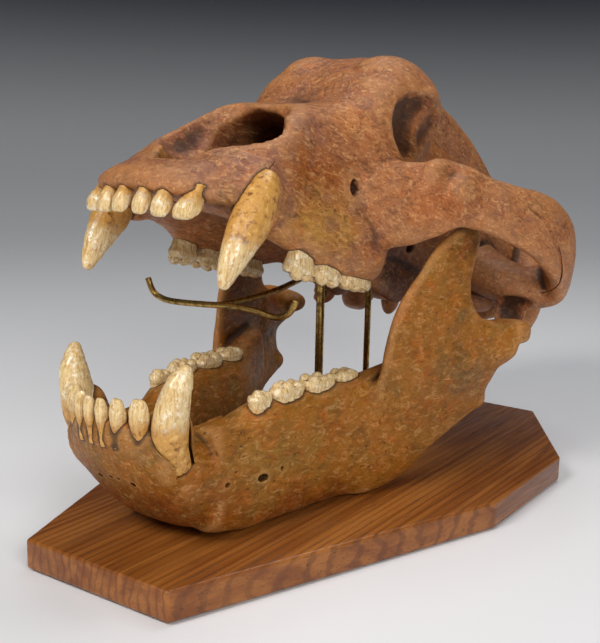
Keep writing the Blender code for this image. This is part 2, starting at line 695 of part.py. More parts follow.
# ---------------------------------------------------------------- the model
def main():
    for thing in list(bpy.data.objects):
        bpy.data.objects.remove(thing)
    parts = bpy.data.collections.new("cave_bear_skull")
    tools = bpy.data.collections.new("cutters")
    for collection in (parts, tools):
        bpy.context.scene.collection.children.link(collection)

    bone = finish("cranium_bone", (0.42, 0.22, 0.14), 0.7)
    jaw_bone = finish("jaw_bone", (0.40, 0.22, 0.07), 0.65)
    oak = finish("base_wood", (0.22, 0.09, 0.04), 0.45)
    brass = finish("aged_brass", (0.33, 0.24, 0.10), 0.35, 1.0)

    holes = [hole_for(ROD_FRONT_Y, ROD_FRONT_RADIUS, ROD_FRONT_TOP, tools),
             hole_for(ROD_BACK_Y, ROD_BACK_RADIUS, ROD_BACK_TOP, tools)]

    cranium = cranium_solid(tools)
    fuse(cranium, VOXEL, 6)
    hollows = cranium_hollows(tools)
    fuse(hollows, VOXEL, 1)
    combine(cranium, hollows, "DIFFERENCE")
    fuse(cranium, VOXEL, 2)
    thin(cranium, CRANIUM_SHARE)
    combine(cranium, teeth("upper_teeth", CRANIUM, UPPER_CANINE, UPPER_INCISORS, 0.9,
                           UPPER_CHEEK_TEETH, 0.8, tools), "UNION")
    for hole in holes:
        combine(cranium, hole, "DIFFERENCE")

    gap = GAP / CM
    for side, word in ((1, "left"), (-1, "right")):
        arch = side_box(side, ARCH_INNER, MUZZLE_END + gap, ARCH_STOP, ARCH_TOP, tools)
        arch_room = side_box(side, ARCH_INNER - gap, MUZZLE_END, ARCH_STOP + gap,
                             ARCH_TOP + gap, tools)
        muzzle = side_box(side, gap / 2, -FAR, MUZZLE_END, FAR, tools)
        forehead = side_box(side, gap / 2, MUZZLE_END + gap, FOREHEAD_END, FAR, tools)
        braincase = side_box(side, gap / 2, FOREHEAD_END + gap, FAR, FAR, tools)
        part_copy(cranium, "muzzle_" + word, muzzle, [], bone, parts)
        part_copy(cranium, "forehead_" + word, forehead, [arch_room], bone, parts)
        part_copy(cranium, "braincase_" + word, braincase, [arch_room], bone, parts)
        part_copy(cranium, "cheek_arch_" + word, arch, [], bone, parts)

    jaw = jaw_solid(tools)
    fuse(jaw, VOXEL, 5)
    combine(jaw, jaw_hollows(tools), "DIFFERENCE")
    fuse(jaw, VOXEL, 2)
    thin(jaw, JAW_SHARE)
    combine(jaw, teeth("lower_teeth", JAW, LOWER_CANINE, LOWER_INCISORS, -1.0,
                       LOWER_CHEEK_TEETH, -1.2, tools), "UNION")
    table = box_cutter("table", Matrix(), (-1, -1, -1), (1, 1, BASE_THICKNESS + GAP), tools)
    combine(jaw, table, "DIFFERENCE")
    for side, name in ((1, "jaw_left"), (-1, "jaw_right")):
        xs = sorted((side * GAP / 2, side * 1.0))
        half = box_cutter("jaw_half", Matrix(), (xs[0], -1, -1), (xs[1], 1, 1), tools)
        part_copy(jaw, name, half, [], jaw_bone, parts)

    plank = board(oak, parts)
    for hole in holes:
        combine(plank, hole, "DIFFERENCE")
    wire("stand_rod_front", rod_points(ROD_FRONT_Y, ROD_FRONT_TOP), ROD_FRONT_RADIUS, brass, parts)
    wire("stand_rod_back", rod_points(ROD_BACK_Y, ROD_BACK_TOP), ROD_BACK_RADIUS, brass, parts)
    wire("stand_arm", arm_points(), CRADLE_RADIUS, brass, parts)
    wire("stand_cradle", cradle_points(), CRADLE_RADIUS, brass, parts)

    for thing in tools.objects:
        thing.hide_render = True
        thing.display_type = "WIRE"


main()
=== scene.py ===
"""Looks of the cave bear skull on its wooden base.

Bones are worked in their own frames, in centimetres: x to the animal's left, s backwards from
the front teeth, z up.  Everything is brought to metres and to its place in the mesh itself.
"""
import json
import math

import bmesh
import bpy
import numpy as np
from mathutils import Matrix, Vector, kdtree, noise
from mathutils.bvhtree import BVHTree

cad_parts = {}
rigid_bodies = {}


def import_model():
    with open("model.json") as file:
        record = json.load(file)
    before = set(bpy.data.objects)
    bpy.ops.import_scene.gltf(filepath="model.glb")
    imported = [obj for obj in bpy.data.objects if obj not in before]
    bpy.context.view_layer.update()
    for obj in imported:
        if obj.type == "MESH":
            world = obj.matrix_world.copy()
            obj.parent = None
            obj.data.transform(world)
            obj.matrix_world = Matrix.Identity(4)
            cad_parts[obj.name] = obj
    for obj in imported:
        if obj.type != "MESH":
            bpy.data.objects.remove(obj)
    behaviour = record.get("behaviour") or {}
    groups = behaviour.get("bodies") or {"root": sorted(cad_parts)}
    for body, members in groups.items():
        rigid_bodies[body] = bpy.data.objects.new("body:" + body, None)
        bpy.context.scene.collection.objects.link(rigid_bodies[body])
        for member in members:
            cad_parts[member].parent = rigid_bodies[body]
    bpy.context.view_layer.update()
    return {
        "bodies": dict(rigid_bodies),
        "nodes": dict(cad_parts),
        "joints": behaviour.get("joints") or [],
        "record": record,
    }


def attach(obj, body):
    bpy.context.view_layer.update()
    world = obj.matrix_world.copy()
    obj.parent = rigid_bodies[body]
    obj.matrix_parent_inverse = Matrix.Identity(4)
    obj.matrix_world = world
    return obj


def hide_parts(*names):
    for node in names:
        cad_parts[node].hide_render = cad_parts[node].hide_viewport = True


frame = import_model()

BODY = "root"

# -------- sizes shared with the solids
CM = 0.01
BASE_LENGTH = 0.453
BASE_THICKNESS = 0.019
BASE_FRONT_HALF = 0.0565
BASE_HALF = 0.142
BASE_BACK_HALF = 0.078
BASE_FLARE_END = 0.2305
BASE_TAPER_START = 0.348
BASE_EDGE_ROUND = 0.0022

JAW_TILT = math.radians(2.6)
JAW_ORIGIN = (0.0, -0.2162, 0.1005)
CRANIUM_TILT = math.radians(17.0)
CRANIUM_ORIGIN = (0.0, -0.193, 0.2237)

ROD_FRONT_Y = -0.001
ROD_FRONT_RADIUS = 0.003
ROD_FRONT_TOP = 0.18
ROD_BACK_Y = 0.066
ROD_BACK_RADIUS = 0.0024
ROD_BACK_TOP = 0.184
ROD_SEAT = 0.008
CRADLE_RADIUS = 0.002
CRADLE_FORWARD = -0.117
CRADLE_HALF = 0.059
CRADLE_Z = 0.1505
GAP = 0.0003

FINE = 0.0016                     # grain of the finished bones
GRINDER_GRAIN = 0.00052
FRONT_GRAIN = 0.0005
CANINE_GRAIN = 0.0006
NOSE_GRAIN = 0.0009
MOST_FACES = 190000
BONE_SOFTENING = 24               # rounds of smoothing that find the hollows
TOOTH_SOFTENING = 12
GUM_TOUCH = 0.0008                # a tooth this near the bone marks the gum line, where shade is painted
GUM_REACH = 0.0032                # how far from the gum line the painted shade spreads
TOOTH_ROOT = (204, 150, 74)


def bone_frame(origin, tilt):
    """Centimetres of a bone's own frame to metres of the model."""
    return Matrix.Translation(origin) @ Matrix.Rotation(-tilt, 4, "X") @ Matrix.Scale(CM, 4)


CRANIUM = bone_frame(CRANIUM_ORIGIN, CRANIUM_TILT)
JAW = bone_frame(JAW_ORIGIN, JAW_TILT)

# -------- the bones' main shapes
CRANIUM_SECTIONS = [
    (-0.35, 0.5, 1.2, 0.5, 1.7, 0.8, 1.1, 1.15, 1.25),
    (0.3, 0.45, 2.6, 0.4, 3.1, 0.9, 2.2, 1.6, 1.9),
    (1.5, 0.4, 3.5, 0.35, 4.0, 1.0, 2.7, 2.2, 2.5),
    (3.0, 0.4, 4.1, 0.3, 4.7, 1.3, 3.2, 3.1, 3.3),
    (5.0, 0.5, 4.5, 0.1, 5.4, 2.0, 3.7, 4.6, 4.8),
    (7.0, 0.7, 4.5, -0.2, 5.4, 2.6, 4.0, 6.0, 6.2),
    (9.0, 0.8, 4.7, -0.6, 5.2, 2.8, 3.8, 7.4, 7.8),
    (10.0, 0.9, 5.0, -0.9, 5.2, 2.9, 3.6, 8.0, 8.5),
    (12.0, 1.0, 5.3, -1.1, 5.3, 3.4, 3.7, 8.6, 9.2),
    (14.0, 1.1, 5.6, -1.15, 5.5, 4.2, 4.0, 9.5, 9.9),
    (15.0, 1.1, 5.7, -1.15, 5.7, 4.6, 4.3, 10.7, 11.0),
    (16.0, 1.1, 5.7, -1.1, 5.8, 4.8, 4.7, 11.9, 12.5),
    (18.0, 1.1, 5.6, -0.9, 5.9, 5.0, 5.1, 12.9, 14.2),
    (19.4, 1.1, 4.9, -0.4, 5.6, 5.0, 5.3, 13.2, 15.0),
    (20.6, 1.2, 4.0, 0.4, 4.9, 5.2, 5.4, 13.3, 15.5),
    (22.0, 1.3, 3.6, 1.1, 4.4, 5.5, 5.2, 13.2, 15.9),
    (24.0, 1.8, 3.3, 1.8, 3.9, 6.0, 4.2, 13.2, 16.2),
    (26.0, 1.8, 3.2, 2.0, 3.8, 6.5, 3.0, 12.6, 16.1),
    (28.0, 1.6, 3.6, 2.0, 4.3, 6.9, 2.7, 11.6, 14.8),
    (31.0, 1.3, 4.4, 2.2, 5.2, 6.8, 3.5, 10.6, 12.6),
    (34.0, 1.0, 4.8, 1.8, 5.8, 6.3, 3.9, 10.2, 11.8),
    (37.0, 0.8, 5.2, 1.6, 6.0, 5.8, 3.9, 9.8, 11.3),
    (40.0, 0.7, 5.4, 1.6, 6.2, 5.2, 4.0, 9.2, 10.9),
    (42.6, 0.9, 4.9, 1.8, 6.4, 4.8, 4.4, 9.0, 11.2),
    (44.2, 1.6, 3.6, 2.6, 4.8, 5.0, 3.4, 9.2, 11.6),
    (45.0, 3.6, 2.0, 4.2, 2.8, 5.6, 2.2, 8.6, 11.4),
]
# centre x, s, z, half thickness, half height
ZYGOMATIC_ARCH = [
    (4.6, 15.4, 4.3, 1.5, 2.5),
    (6.0, 17.5, 4.2, 1.4, 2.9),
    (7.4, 19.3, 5.0, 1.1, 2.7),
    (8.8, 21.2, 5.9, 0.9, 2.3),
    (10.2, 23.3, 5.9, 0.8, 2.0),
    (11.4, 25.6, 5.8, 0.8, 2.1),
    (12.3, 28.2, 5.7, 0.9, 2.4),
    (12.7, 30.8, 5.2, 1.0, 2.5),
    (12.5, 33.2, 4.2, 1.1, 2.4),
    (11.5, 34.9, 2.8, 1.3, 1.9),
    (9.8, 34.8, 2.0, 2.2, 1.6),
    (7.6, 34.2, 2.3, 2.8, 1.7),
    (5.4, 34.0, 3.2, 3.0, 2.0),
]
# s, z of the top edge, z of the root, half thickness at the root
SAGITTAL_CREST = [
    (25.0, 16.4, 12.0, 2.0),
    (29.0, 16.6, 11.0, 1.4),
    (33.0, 16.3, 10.0, 1.1),
    (36.5, 15.9, 9.6, 1.0),
    (40.0, 15.2, 9.0, 1.0),
    (43.5, 14.1, 8.4, 1.2),
    (45.4, 13.0, 9.4, 1.2),
]
# centre x, s, z, half width, half depth
NUCHAL_CREST = [
    (0.0, 45.1, 12.0, 1.4, 1.0),
    (2.4, 44.7, 11.2, 1.4, 0.9),
    (4.6, 43.3, 9.0, 1.4, 0.9),
    (6.2, 41.7, 6.4, 1.5, 1.1),
    (7.2, 40.2, 3.4, 1.7, 1.4),
    (7.8, 38.9, 0.6, 1.6, 1.5),
    (7.8, 38.6, -1.2, 1.0, 1.0),
]
# centre x, s, z and radii of lumps on both sides of the cranium
CRANIUM_LUMPS = [
    (3.0, 21.0, 12.3, 2.75, 5.0, 2.9),     # frontal boss
    (5.1, 21.2, 12.8, 1.0, 1.4, 0.95),     # postorbital process
    (8.1, 20.6, 6.7, 0.8, 2.6, 1.6),       # orbital process of the cheek bone
    (9.4, 22.2, 6.2, 0.9, 2.6, 1.3),       # its slope to the arch
    (4.7, 5.4, 1.5, 0.95, 1.8, 2.1),       # canine root
    (2.6, 43.6, 1.3, 1.5, 1.3, 1.5),       # occipital condyle
    (5.6, 41.0, 0.5, 0.9, 0.9, 1.8),       # process beside the condyle
    (4.4, 36.6, 0.7, 1.7, 2.2, 1.0),       # ear capsule
    (8.8, 34.4, -0.3, 1.4, 0.8, 1.4),      # process behind the jaw joint
]
# centre x, s, z, half thickness, half height
PTERYGOID_PLATE = [
    (3.4, 19.0, 1.4, 1.0, 1.4),
    (2.9, 22.0, 1.0, 0.6, 1.8),
    (2.6, 25.0, 0.6, 0.5, 1.9),
    (2.5, 27.2, 0.6, 0.5, 2.0),
    (2.8, 30.0, 1.6, 0.7, 1.2),
]
# z, front s, back s, half width of the open nose
NOSE_OPENING = [
    (2.1, 4.2, 8.6, 2.3),
    (3.5, 3.6, 8.9, 2.9),
    (6.0, 3.4, 9.1, 3.2),
    (8.0, 3.2, 9.2, 3.1),
    (12.0, 3.2, 9.3, 2.6),
]
# s, half width, floor z, roof z of the nasal passage
NOSE_PASSAGE = [
    (2.0, 1.0, 2.2, 4.0),
    (5.0, 2.4, 2.0, 6.0),
    (8.5, 2.8, 2.2, 7.8),
    (12.0, 2.7, 2.6, 8.0),
    (15.5, 2.2, 3.0, 7.8),
    (18.0, 1.2, 3.8, 6.8),
]
# s, half width, floor z, roof z of the throat opening behind the palate
THROAT = [
    (20.6, 1.3, 2.0, 2.8),
    (22.4, 1.8, -0.5, 3.4),
    (25.0, 1.9, -2.0, 3.2),
    (28.0, 2.0, -2.0, 2.4),
    (30.5, 1.8, -1.5, 1.2),
]
# centre x, s, z and radii of rounded hollows
NOSE_FRONT = ((0.0, 3.6, 4.4), (1.7, 2.3, 2.2))
NOSE_LOBE = ((1.3, 8.1, 8.0), (1.9, 1.8, 2.4))
ORBIT = ((6.6, 19.9, 10.1), (2.3, 3.6, 2.8))
NOSE_BEVEL = ((1.6, 5.9, 6.0), (2.6, 3.4, 2.5))
ORBIT_BACK = ((6.3, 23.2, 10.3), (1.9, 3.2, 2.3))
JAW_JOINT_HOLLOW = ((9.8, 33.2, -0.4), (2.6, 1.5, 1.5))
SPINAL_OPENING = ((0.0, 44.6, 3.0), (1.4, 3.0, 1.2))

# s, half width, top z, bottom z of the chin where both halves are one
CHIN = [
    (-0.65, 1.3, 0.45, -0.9),
    (0.0, 2.6, 0.45, -2.1),
    (1.0, 3.5, 0.45, -3.6),
    (2.2, 4.0, 0.25, -5.0),
    (3.6, 4.2, -0.35, -6.4),
    (5.0, 4.2, -0.8, -7.2),
    (6.6, 4.2, -0.8, -7.7),
    (8.4, 3.9, -0.6, -7.6),
]
# s, centre x, half thickness, top z, bottom z of each jaw body
JAW_BODY = [
    (5.0, 3.0, 1.4, -0.8, -7.2),
    (7.0, 3.2, 1.4, -0.6, -7.6),
    (9.0, 3.7, 1.4, 0.25, -7.6),
    (12.0, 4.2, 1.4, 0.45, -7.5),
    (15.0, 4.7, 1.45, 0.55, -7.4),
    (18.0, 5.4, 1.7, 0.75, -7.3),
    (20.5, 6.3, 1.5, 1.4, -7.1),
    (23.0, 7.0, 1.1, 2.0, -6.0),
]
# z, front x and s, back x and s, half thickness of the upright part of the jaw
JAW_RAMUS = [
    (-7.3, 5.6, 16.8, 6.2, 20.4, 0.8),
    (-6.3, 5.9, 17.0, 7.2, 22.3, 0.9),
    (-5.0, 6.2, 17.2, 7.9, 23.8, 0.9),
    (-3.7, 6.4, 17.3, 8.7, 26.4, 0.8),
    (-2.6, 6.6, 17.4, 9.2, 29.2, 0.75),
    (-1.4, 6.8, 17.6, 9.6, 29.4, 0.75),
    (0.0, 6.9, 17.9, 10.1, 29.9, 0.7),
    (1.5, 7.1, 18.2, 10.5, 30.6, 0.7),
    (3.0, 7.15, 18.5, 10.3, 30.2, 0.65),
    (4.4, 7.3, 18.8, 9.7, 27.4, 0.6),
    (6.0, 7.6, 19.5, 9.3, 26.5, 0.5),
    (8.0, 8.1, 21.1, 9.2, 26.9, 0.5),
    (9.4, 8.4, 22.4, 9.1, 27.7, 0.45),
    (10.4, 8.7, 24.2, 9.0, 27.7, 0.4),
    (11.0, 8.8, 25.8, 8.9, 27.3, 0.3),
]
# centre x, s, z, radii in s and z of the joint roller
JAW_CONDYLE = [
    (8.0, 30.6, 2.8, 0.7, 0.6),
    (9.1, 30.8, 2.8, 1.0, 0.9),
    (10.9, 30.6, 3.0, 1.1, 1.0),
    (12.2, 30.5, 3.2, 0.8, 0.8),
]
# centre x, s, z, half thickness, half height of the shelf that carries the roller
JAW_NECK = [
    (8.8, 25.8, 2.2, 0.75, 2.0),
    (9.8, 28.3, 2.1, 1.1, 2.0),
    (10.5, 30.3, 2.3, 1.7, 1.4),
]
JAW_LUMPS = [
    (3.3, 2.1, -1.2, 1.0, 1.5, 2.5),       # canine root
    (9.2, 28.8, -2.0, 0.75, 0.9, 0.8),     # angular process
]
MASSETER_HOLLOW = ((11.5, 24.2, 3.0), (2.2, 3.4, 5.4))
# s, half width, floor z, roof z
TONGUE_HOLLOW = [
    (1.8, 1.2, -0.9, 2.0),
    (4.0, 1.8, -2.6, 2.0),
    (7.0, 1.7, -4.8, 2.0),
    (9.6, 1.9, -8.5, 2.0),
    (13.0, 2.6, -9.0, 2.0),
]


# -------- curves and rings
def catmull(a, b, c, d, t):
    """A value between b and c on the smooth curve through a, b, c and d."""
    return 0.5 * (2 * b + (c - a) * t + (2 * a - 5 * b + 4 * c - d) * t * t
                  + (3 * b - a - 3 * c + d) * t * t * t)


def smooth_rows(rows, steps):
    """The rows with `steps` - 1 more between each pair, on smooth curves."""
    last = len(rows) - 1
    out = []
    for i in range(last):
        four = [rows[max(i - 1, 0)], rows[i], rows[i + 1], rows[min(i + 2, last)]]
        out += [[catmull(*values, k / steps) for values in zip(*four)] for k in range(steps)]
    return out + [list(rows[last])]


def smooth_ring(points, steps):
    """A closed smooth ring through the points."""
    count = len(points)
    ring = []
    for i in range(count):
        four = [points[(i + k - 1) % count] for k in range(4)]
        ring += [Vector([catmull(*values, k / steps) for values in zip(*four)])
                 for k in range(steps)]
    return ring


def oval(centre, side, up, corners=2.0, count=16):
    """A ring with two half axes; more than 2 corners makes it boxier."""
    ring = []
    for i in range(count):
        angle = 2 * math.pi * (i + 0.5) / count
        cosine, sine = math.cos(angle), math.sin(angle)
        across = math.copysign(abs(cosine) ** (2 / corners), cosine)
        upward = math.copysign(abs(sine) ** (2 / corners), sine)
        ring.append(centre + side * across + up * upward)
    return ring


def upright(s, half, top, bottom, corners, count, x=0.0):
    """A ring across the bone at s."""
    return oval(Vector((x, s, (top + bottom) / 2)), Vector((half, 0, 0)),
                Vector((0, 0, (top - bottom) / 2)), corners, count)


# -------- solids of one bone
def add_loft(bm, rings):
    """Skins a row of rings that have the same number of points, and closes both ends."""
    hoops = []
    for ring in rings:
        verts = bmesh.ops.create_circle(bm, segments=len(ring), radius=1.0)["verts"]
        for vert, place in zip(verts, ring):
            vert.co = place
        hoops.append(list({edge for vert in verts for edge in vert.link_edges}))
    for first, second in zip(hoops, hoops[1:]):
        bmesh.ops.bridge_loops(bm, edges=first + second)
    for hoop in (hoops[0], hoops[-1]):
        bmesh.ops.edgeloop_fill(bm, edges=hoop)


def add_sweep(bm, rows, steps=3, corners=2.0, count=16, side=1):
    """A bar along x, s, z rows with a half thickness and a half height at each."""
    rows = smooth_rows(rows, steps)
    centres = [Vector((side * row[0], row[1], row[2])) for row in rows]
    rings = []
    for i, row in enumerate(rows):
        ahead = centres[min(i + 1, len(rows) - 1)] - centres[max(i - 1, 0)]
        across = ahead.cross(Vector((0, 0, 1)))
        if across.length < 0.35 * ahead.length:
            across = Vector((0, 1, 0)).cross(ahead)
        across.normalize()
        upward = across.cross(ahead).normalized()
        rings.append(oval(centres[i], across * row[3], upward * row[4], corners, count))
    add_loft(bm, rings)


def add_passage(bm, rows, corners=2.4, count=20):
    """A closed tube along s from rows of s, half width, floor and roof."""
    add_loft(bm, [upright(s, half, roof, floor, corners, count)
                  for s, half, floor, roof in smooth_rows(rows, 3)])


def add_lump(bm, centre, radii, side=1, detail=3):
    """An ellipsoid."""
    place = Matrix.Translation((side * centre[0], centre[1], centre[2]))
    stretch = Matrix.Diagonal((*radii, 1))
    bmesh.ops.create_icosphere(bm, subdivisions=detail, radius=1.0, matrix=place @ stretch)


# -------- pieces
def piece_from(name, bm, frame):
    """A scene piece from a bmesh worked in a bone's frame."""
    bmesh.ops.recalc_face_normals(bm, faces=bm.faces)
    bm.transform(frame)
    mesh = bpy.data.meshes.new(name)
    bm.to_mesh(mesh)
    bm.free()
    piece = bpy.data.objects.new(name, mesh)
    bpy.context.scene.collection.objects.link(piece)
    return piece


def apply_all(piece):
    """Replaces a piece's mesh by what its modifiers make of it."""
    depsgraph = bpy.context.evaluated_depsgraph_get()
    finished = bpy.data.meshes.new_from_object(piece.evaluated_get(depsgraph))
    piece.modifiers.clear()
    piece.data = finished


def fuse(piece, voxel, rounds):
    """Melts overlapping solids into one skin and rounds the creases."""
    remesh = piece.modifiers.new("fuse", "REMESH")
    remesh.mode = "VOXEL"
    remesh.voxel_size = voxel
    soften = piece.modifiers.new("soften", "SMOOTH")
    soften.factor = 0.5
    soften.iterations = rounds
    apply_all(piece)


def cut(piece, cutter):
    """Cuts one closed mesh out of another and drops the cutter."""
    boolean = piece.modifiers.new("cut", "BOOLEAN")
    boolean.operation = "DIFFERENCE"
    boolean.object = cutter
    apply_all(piece)
    bpy.data.objects.remove(cutter)


def limit_faces(piece, most):
    """Thins a mesh to fewer triangles than `most`."""
    count = sum(len(face.vertices) - 2 for face in piece.data.polygons)
    if count > most:
        decimate = piece.modifiers.new("thin", "DECIMATE")
        decimate.ratio = most / count
        apply_all(piece)


def smooth_shade(piece, sharp=math.radians(50)):
    piece.data.shade_smooth()
    piece.data.set_sharp_from_angle(angle=sharp)


def mesh_points(mesh):
    """A mesh's points and normals as arrays."""
    count = len(mesh.vertices)
    points, normals = np.empty(count * 3), np.empty(count * 3)
    mesh.vertices.foreach_get("co", points)
    mesh.vertices.foreach_get("normal", normals)
    return points.reshape(-1, 3), normals.reshape(-1, 3)


def move_points(mesh, points):
    mesh.vertices.foreach_set("co", points.ravel())
    mesh.update()


def in_bone(points, frame):
    """Model points in centimetres of a bone's frame."""
    back = np.array(frame.inverted())
    return points @ back[:3, :3].T + back[:3, 3]


def weather(piece, frame, layers):
    """Moves the skin along its normals by layered noise.

    Each layer is a size in cm, a height in cm and a function of the points that masks it."""
    points, normals = mesh_points(piece.data)
    places = in_bone(points, frame)
    move = np.zeros(len(points))
    for size, height, mask in layers:
        amount = mask(places)
        where = np.nonzero(amount > 0.01)[0]
        for i in where:
            move[i] += height * amount[i] * noise.fractal(Vector(places[i] / size), 1.0, 2.1, 3)
    points += normals * move[:, None] * CM
    move_points(piece.data, points)


def everywhere(places):
    return np.ones(len(places))


def near(centre, radii, both_sides=True):
    """A mask that is 1 at a place and fades to 0 at its radii."""
    def mask(places):
        spot = places.copy()
        if both_sides:
            spot[:, 0] = np.abs(spot[:, 0])
        away = np.linalg.norm((spot - centre) / radii, axis=1)
        return np.clip(1.3 * (1 - away), 0, 1)
    return mask


def hollowness(mesh, rounds):
    """How far each point lies below the smoothed surface, in metres; ridges are negative."""
    points, normals = mesh_points(mesh)
    edges = np.empty(len(mesh.edges) * 2, np.int64)
    mesh.edges.foreach_get("vertices", edges)
    first, second = edges.reshape(-1, 2).T
    count = np.bincount(edges, minlength=len(points))[:, None]
    soft = points.copy()
    for _ in range(rounds):
        total = np.zeros_like(soft)
        for axis in range(3):
            total[:, axis] = np.bincount(first, soft[second, axis], len(points))
            total[:, axis] += np.bincount(second, soft[first, axis], len(points))
        soft = 0.4 * soft + 0.6 * total / np.maximum(count, 1)
    return ((soft - points) * normals).sum(axis=1)


def write_values(mesh, name, values):
    layer = mesh.attributes.new(name, "FLOAT", "POINT")
    layer.data.foreach_set("value", values.astype(np.float32))


def write_hollows(piece, rounds):
    write_values(piece.data, "hollow", hollowness(piece.data, rounds) / CM)


def linear(colour):
    """A colour named in 0-255 screen values as linear light."""
    values = np.array(colour) / 255
    return np.where(values <= 0.04045, values / 12.92, ((values + 0.055) / 1.055) ** 2.4)


def write_tint(piece, frame, ground, spots, gum=None):
    """Paints soft-edged stains and painted shade over a ground colour, and marks hollows and gum
    lines for painted shade.
    """
    points, _ = mesh_points(piece.data)
    places = in_bone(points, frame)
    wander = np.array([noise.noise_vector(Vector(place / 2.2))
                       + 0.5 * noise.noise_vector(Vector(place / 0.8)) for place in places])
    places = places + 0.9 * wander
    colour = np.tile(linear(ground), (len(points), 1))
    for centre, radii, overlay_colour, strength, *one_side in spots:
        amount = (near(centre, radii, not one_side)(places) * strength)[:, None]
        colour = colour * (1 - amount) + linear(overlay_colour) * amount
    layer = piece.data.attributes.new("tint", "FLOAT_COLOR", "POINT")
    layer.data.foreach_set("color", np.c_[colour, np.ones(len(points))].astype(np.float32).ravel())
    write_hollows(piece, BONE_SOFTENING)
    gum_shade = np.zeros(len(points))
    if gum is not None:
        tree = kdtree.KDTree(len(gum))
        for i, place in enumerate(gum):
            tree.insert(place, i)
        tree.balance()
        for i, place in enumerate(points):
            gum_shade[i] = max(0.0, 1 - tree.find(place)[2] / GUM_REACH)
    write_values(piece.data, "gum", gum_shade)


# -------- the cranium
def cranium_ring(row):
    """One upright section of the cranium, from the palate round to the crown."""
    s, floor, edge_x, edge_z, side_x, side_z, brow_x, brow_z, crown = row
    half = [(edge_x, edge_z), (side_x, side_z), (brow_x, brow_z)]
    outline = [(0, floor)] + half + [(0, crown)] + [(-x, z) for x, z in reversed(half)]
    return smooth_ring([(x, s, z) for x, z in outline], 6)


def crest_ring(row):
    """One upright section of the crest, thick at its root and thin at its edge."""
    s, top, root, half = row
    return upright(s, half * 0.62, top, root, 1.5, 24)


def cranium_solid():
    """The cranium before anything is cut out of it."""
    bm = bmesh.new()
    add_loft(bm, [cranium_ring(row) for row in smooth_rows(CRANIUM_SECTIONS, 4)])
    add_loft(bm, [crest_ring(row) for row in smooth_rows(SAGITTAL_CREST, 4)])
    for side in (1, -1):
        for rows in (ZYGOMATIC_ARCH, NUCHAL_CREST, PTERYGOID_PLATE):
            add_sweep(bm, rows, steps=6, count=28, side=side)
        for lump in CRANIUM_LUMPS:
            add_lump(bm, lump[:3], lump[3:], side, 4)
    return piece_from("cranium", bm, CRANIUM)


def cranium_hollows():
    """The nose, throat, orbits and other large hollows, melted into one cutter."""
    bm = bmesh.new()
    add_loft(bm, [oval(Vector((0, (front + back) / 2, z)), Vector((half, 0, 0)),
                       Vector((0, (back - front) / 2, 0)), 2.4, 40)
                  for z, front, back, half in smooth_rows(NOSE_OPENING, 4)])
    add_passage(bm, NOSE_PASSAGE, count=32)
    add_passage(bm, THROAT, count=32)
    add_lump(bm, *SPINAL_OPENING, 1, 4)
    add_lump(bm, *NOSE_FRONT, 1, 4)
    for side in (1, -1):
        for hollow in (NOSE_LOBE, NOSE_BEVEL, ORBIT, ORBIT_BACK, JAW_JOINT_HOLLOW):
            add_lump(bm, *hollow, side, 4)
    hollows = piece_from("cranium_hollows", bm, CRANIUM)
    fuse(hollows, FINE, 2)
    return hollows


# x, s, z, half width, half depth of the left upper canine from its root to its worn tip
UPPER_CANINE = [
    (5.1, 5.35, 2.75, 0.6, 0.7),
    (5.17, 4.98, 2.1, 0.88, 1.0),
    (5.25, 4.6, 1.2, 1.0, 1.15),
    (5.25, 4.15, -0.2, 1.08, 1.28),
    (5.25, 3.65, -1.4, 0.93, 1.1),
    (5.25, 3.22, -2.6, 0.7, 0.82),
    (5.24, 3.0, -3.4, 0.5, 0.58),
    (5.22, 2.93, -3.9, 0.32, 0.38),
]
LOWER_CANINE = [
    (3.42, 2.5, -2.6, 0.7, 0.8),
    (3.4, 1.95, -1.4, 0.86, 0.96),
    (3.48, 1.6, -0.3, 1.0, 1.12),
    (3.66, 1.48, 0.7, 0.95, 1.08),
    (3.9, 1.46, 1.6, 0.86, 0.98),
    (4.06, 1.52, 2.3, 0.75, 0.84),
    (4.22, 1.68, 2.9, 0.58, 0.64),
    (4.31, 1.82, 3.3, 0.4, 0.44),
]


def widened(rows, more, out=0.0):
    return [(x + out, s, z, half + more, depth + more) for x, s, z, half, depth in rows]


def on_skin(tree, frame, path):
    """The nearest places on a skin to points of a bone's frame, back in that frame."""
    return [frame.inverted() @ tree.find_nearest(frame @ Vector(place))[0] for place in path]


def add_groove(bm, path, width, depth=None):
    """A thin bar along a path, to be cut as a crack or a suture."""
    count = len(path)
    rows = []
    for i, place in enumerate(path):
        taper = min(1.0, 0.35 + 3.0 * min(i, count - 1 - i) / count)
        rows.append((*place, width * taper, (depth or width) * taper))
    add_sweep(bm, rows, steps=3, count=8)


ARCH_SUTURE = [
    (10.8, 23.5, 7.3), (11.7, 24.8, 6.9), (12.5, 26.2, 6.4), (13.0, 27.5, 5.9), (13.2, 28.4, 5.3),
    (13.4, 29.5, 4.6), (13.4, 30.5, 3.8), (13.3, 31.6, 2.9), (12.6, 32.8, 2.0), (11.5, 33.6, 1.6),
    (10.5, 33.0, 1.5)]
LACRIMAL_SUTURE = [(4.4, 13.3, 8.25), (4.7, 13.8, 7.85), (4.8, 14.7, 8.5), (5.2, 15.3, 8.4),
                   (5.5, 15.7, 8.0), (5.4, 15.9, 7.4), (5.8, 16.4, 7.0)]
SOCKET_CRACK = [(5.6, 4.5, 2.7), (5.5, 4.8, 3.2), (5.45, 5.1, 3.6), (5.4, 5.6, 4.1)]
# centre x, s, z, radii of the holes for nerves and vessels on both sides
CRANIUM_HOLES = [
    (5.5, 13.84, 4.36, 1.5, 0.46, 0.6),
    (3.8, 26.05, 2.84, 1.2, 0.5, 0.45),
    (4.2, 27.6, 5.2, 0.8, 0.5, 0.25),
    (3.0, 36.0, 0.2, 0.4, 0.5, 0.7),
    (1.0, 2.3, 0.2, 0.35, 0.8, 0.9),
]


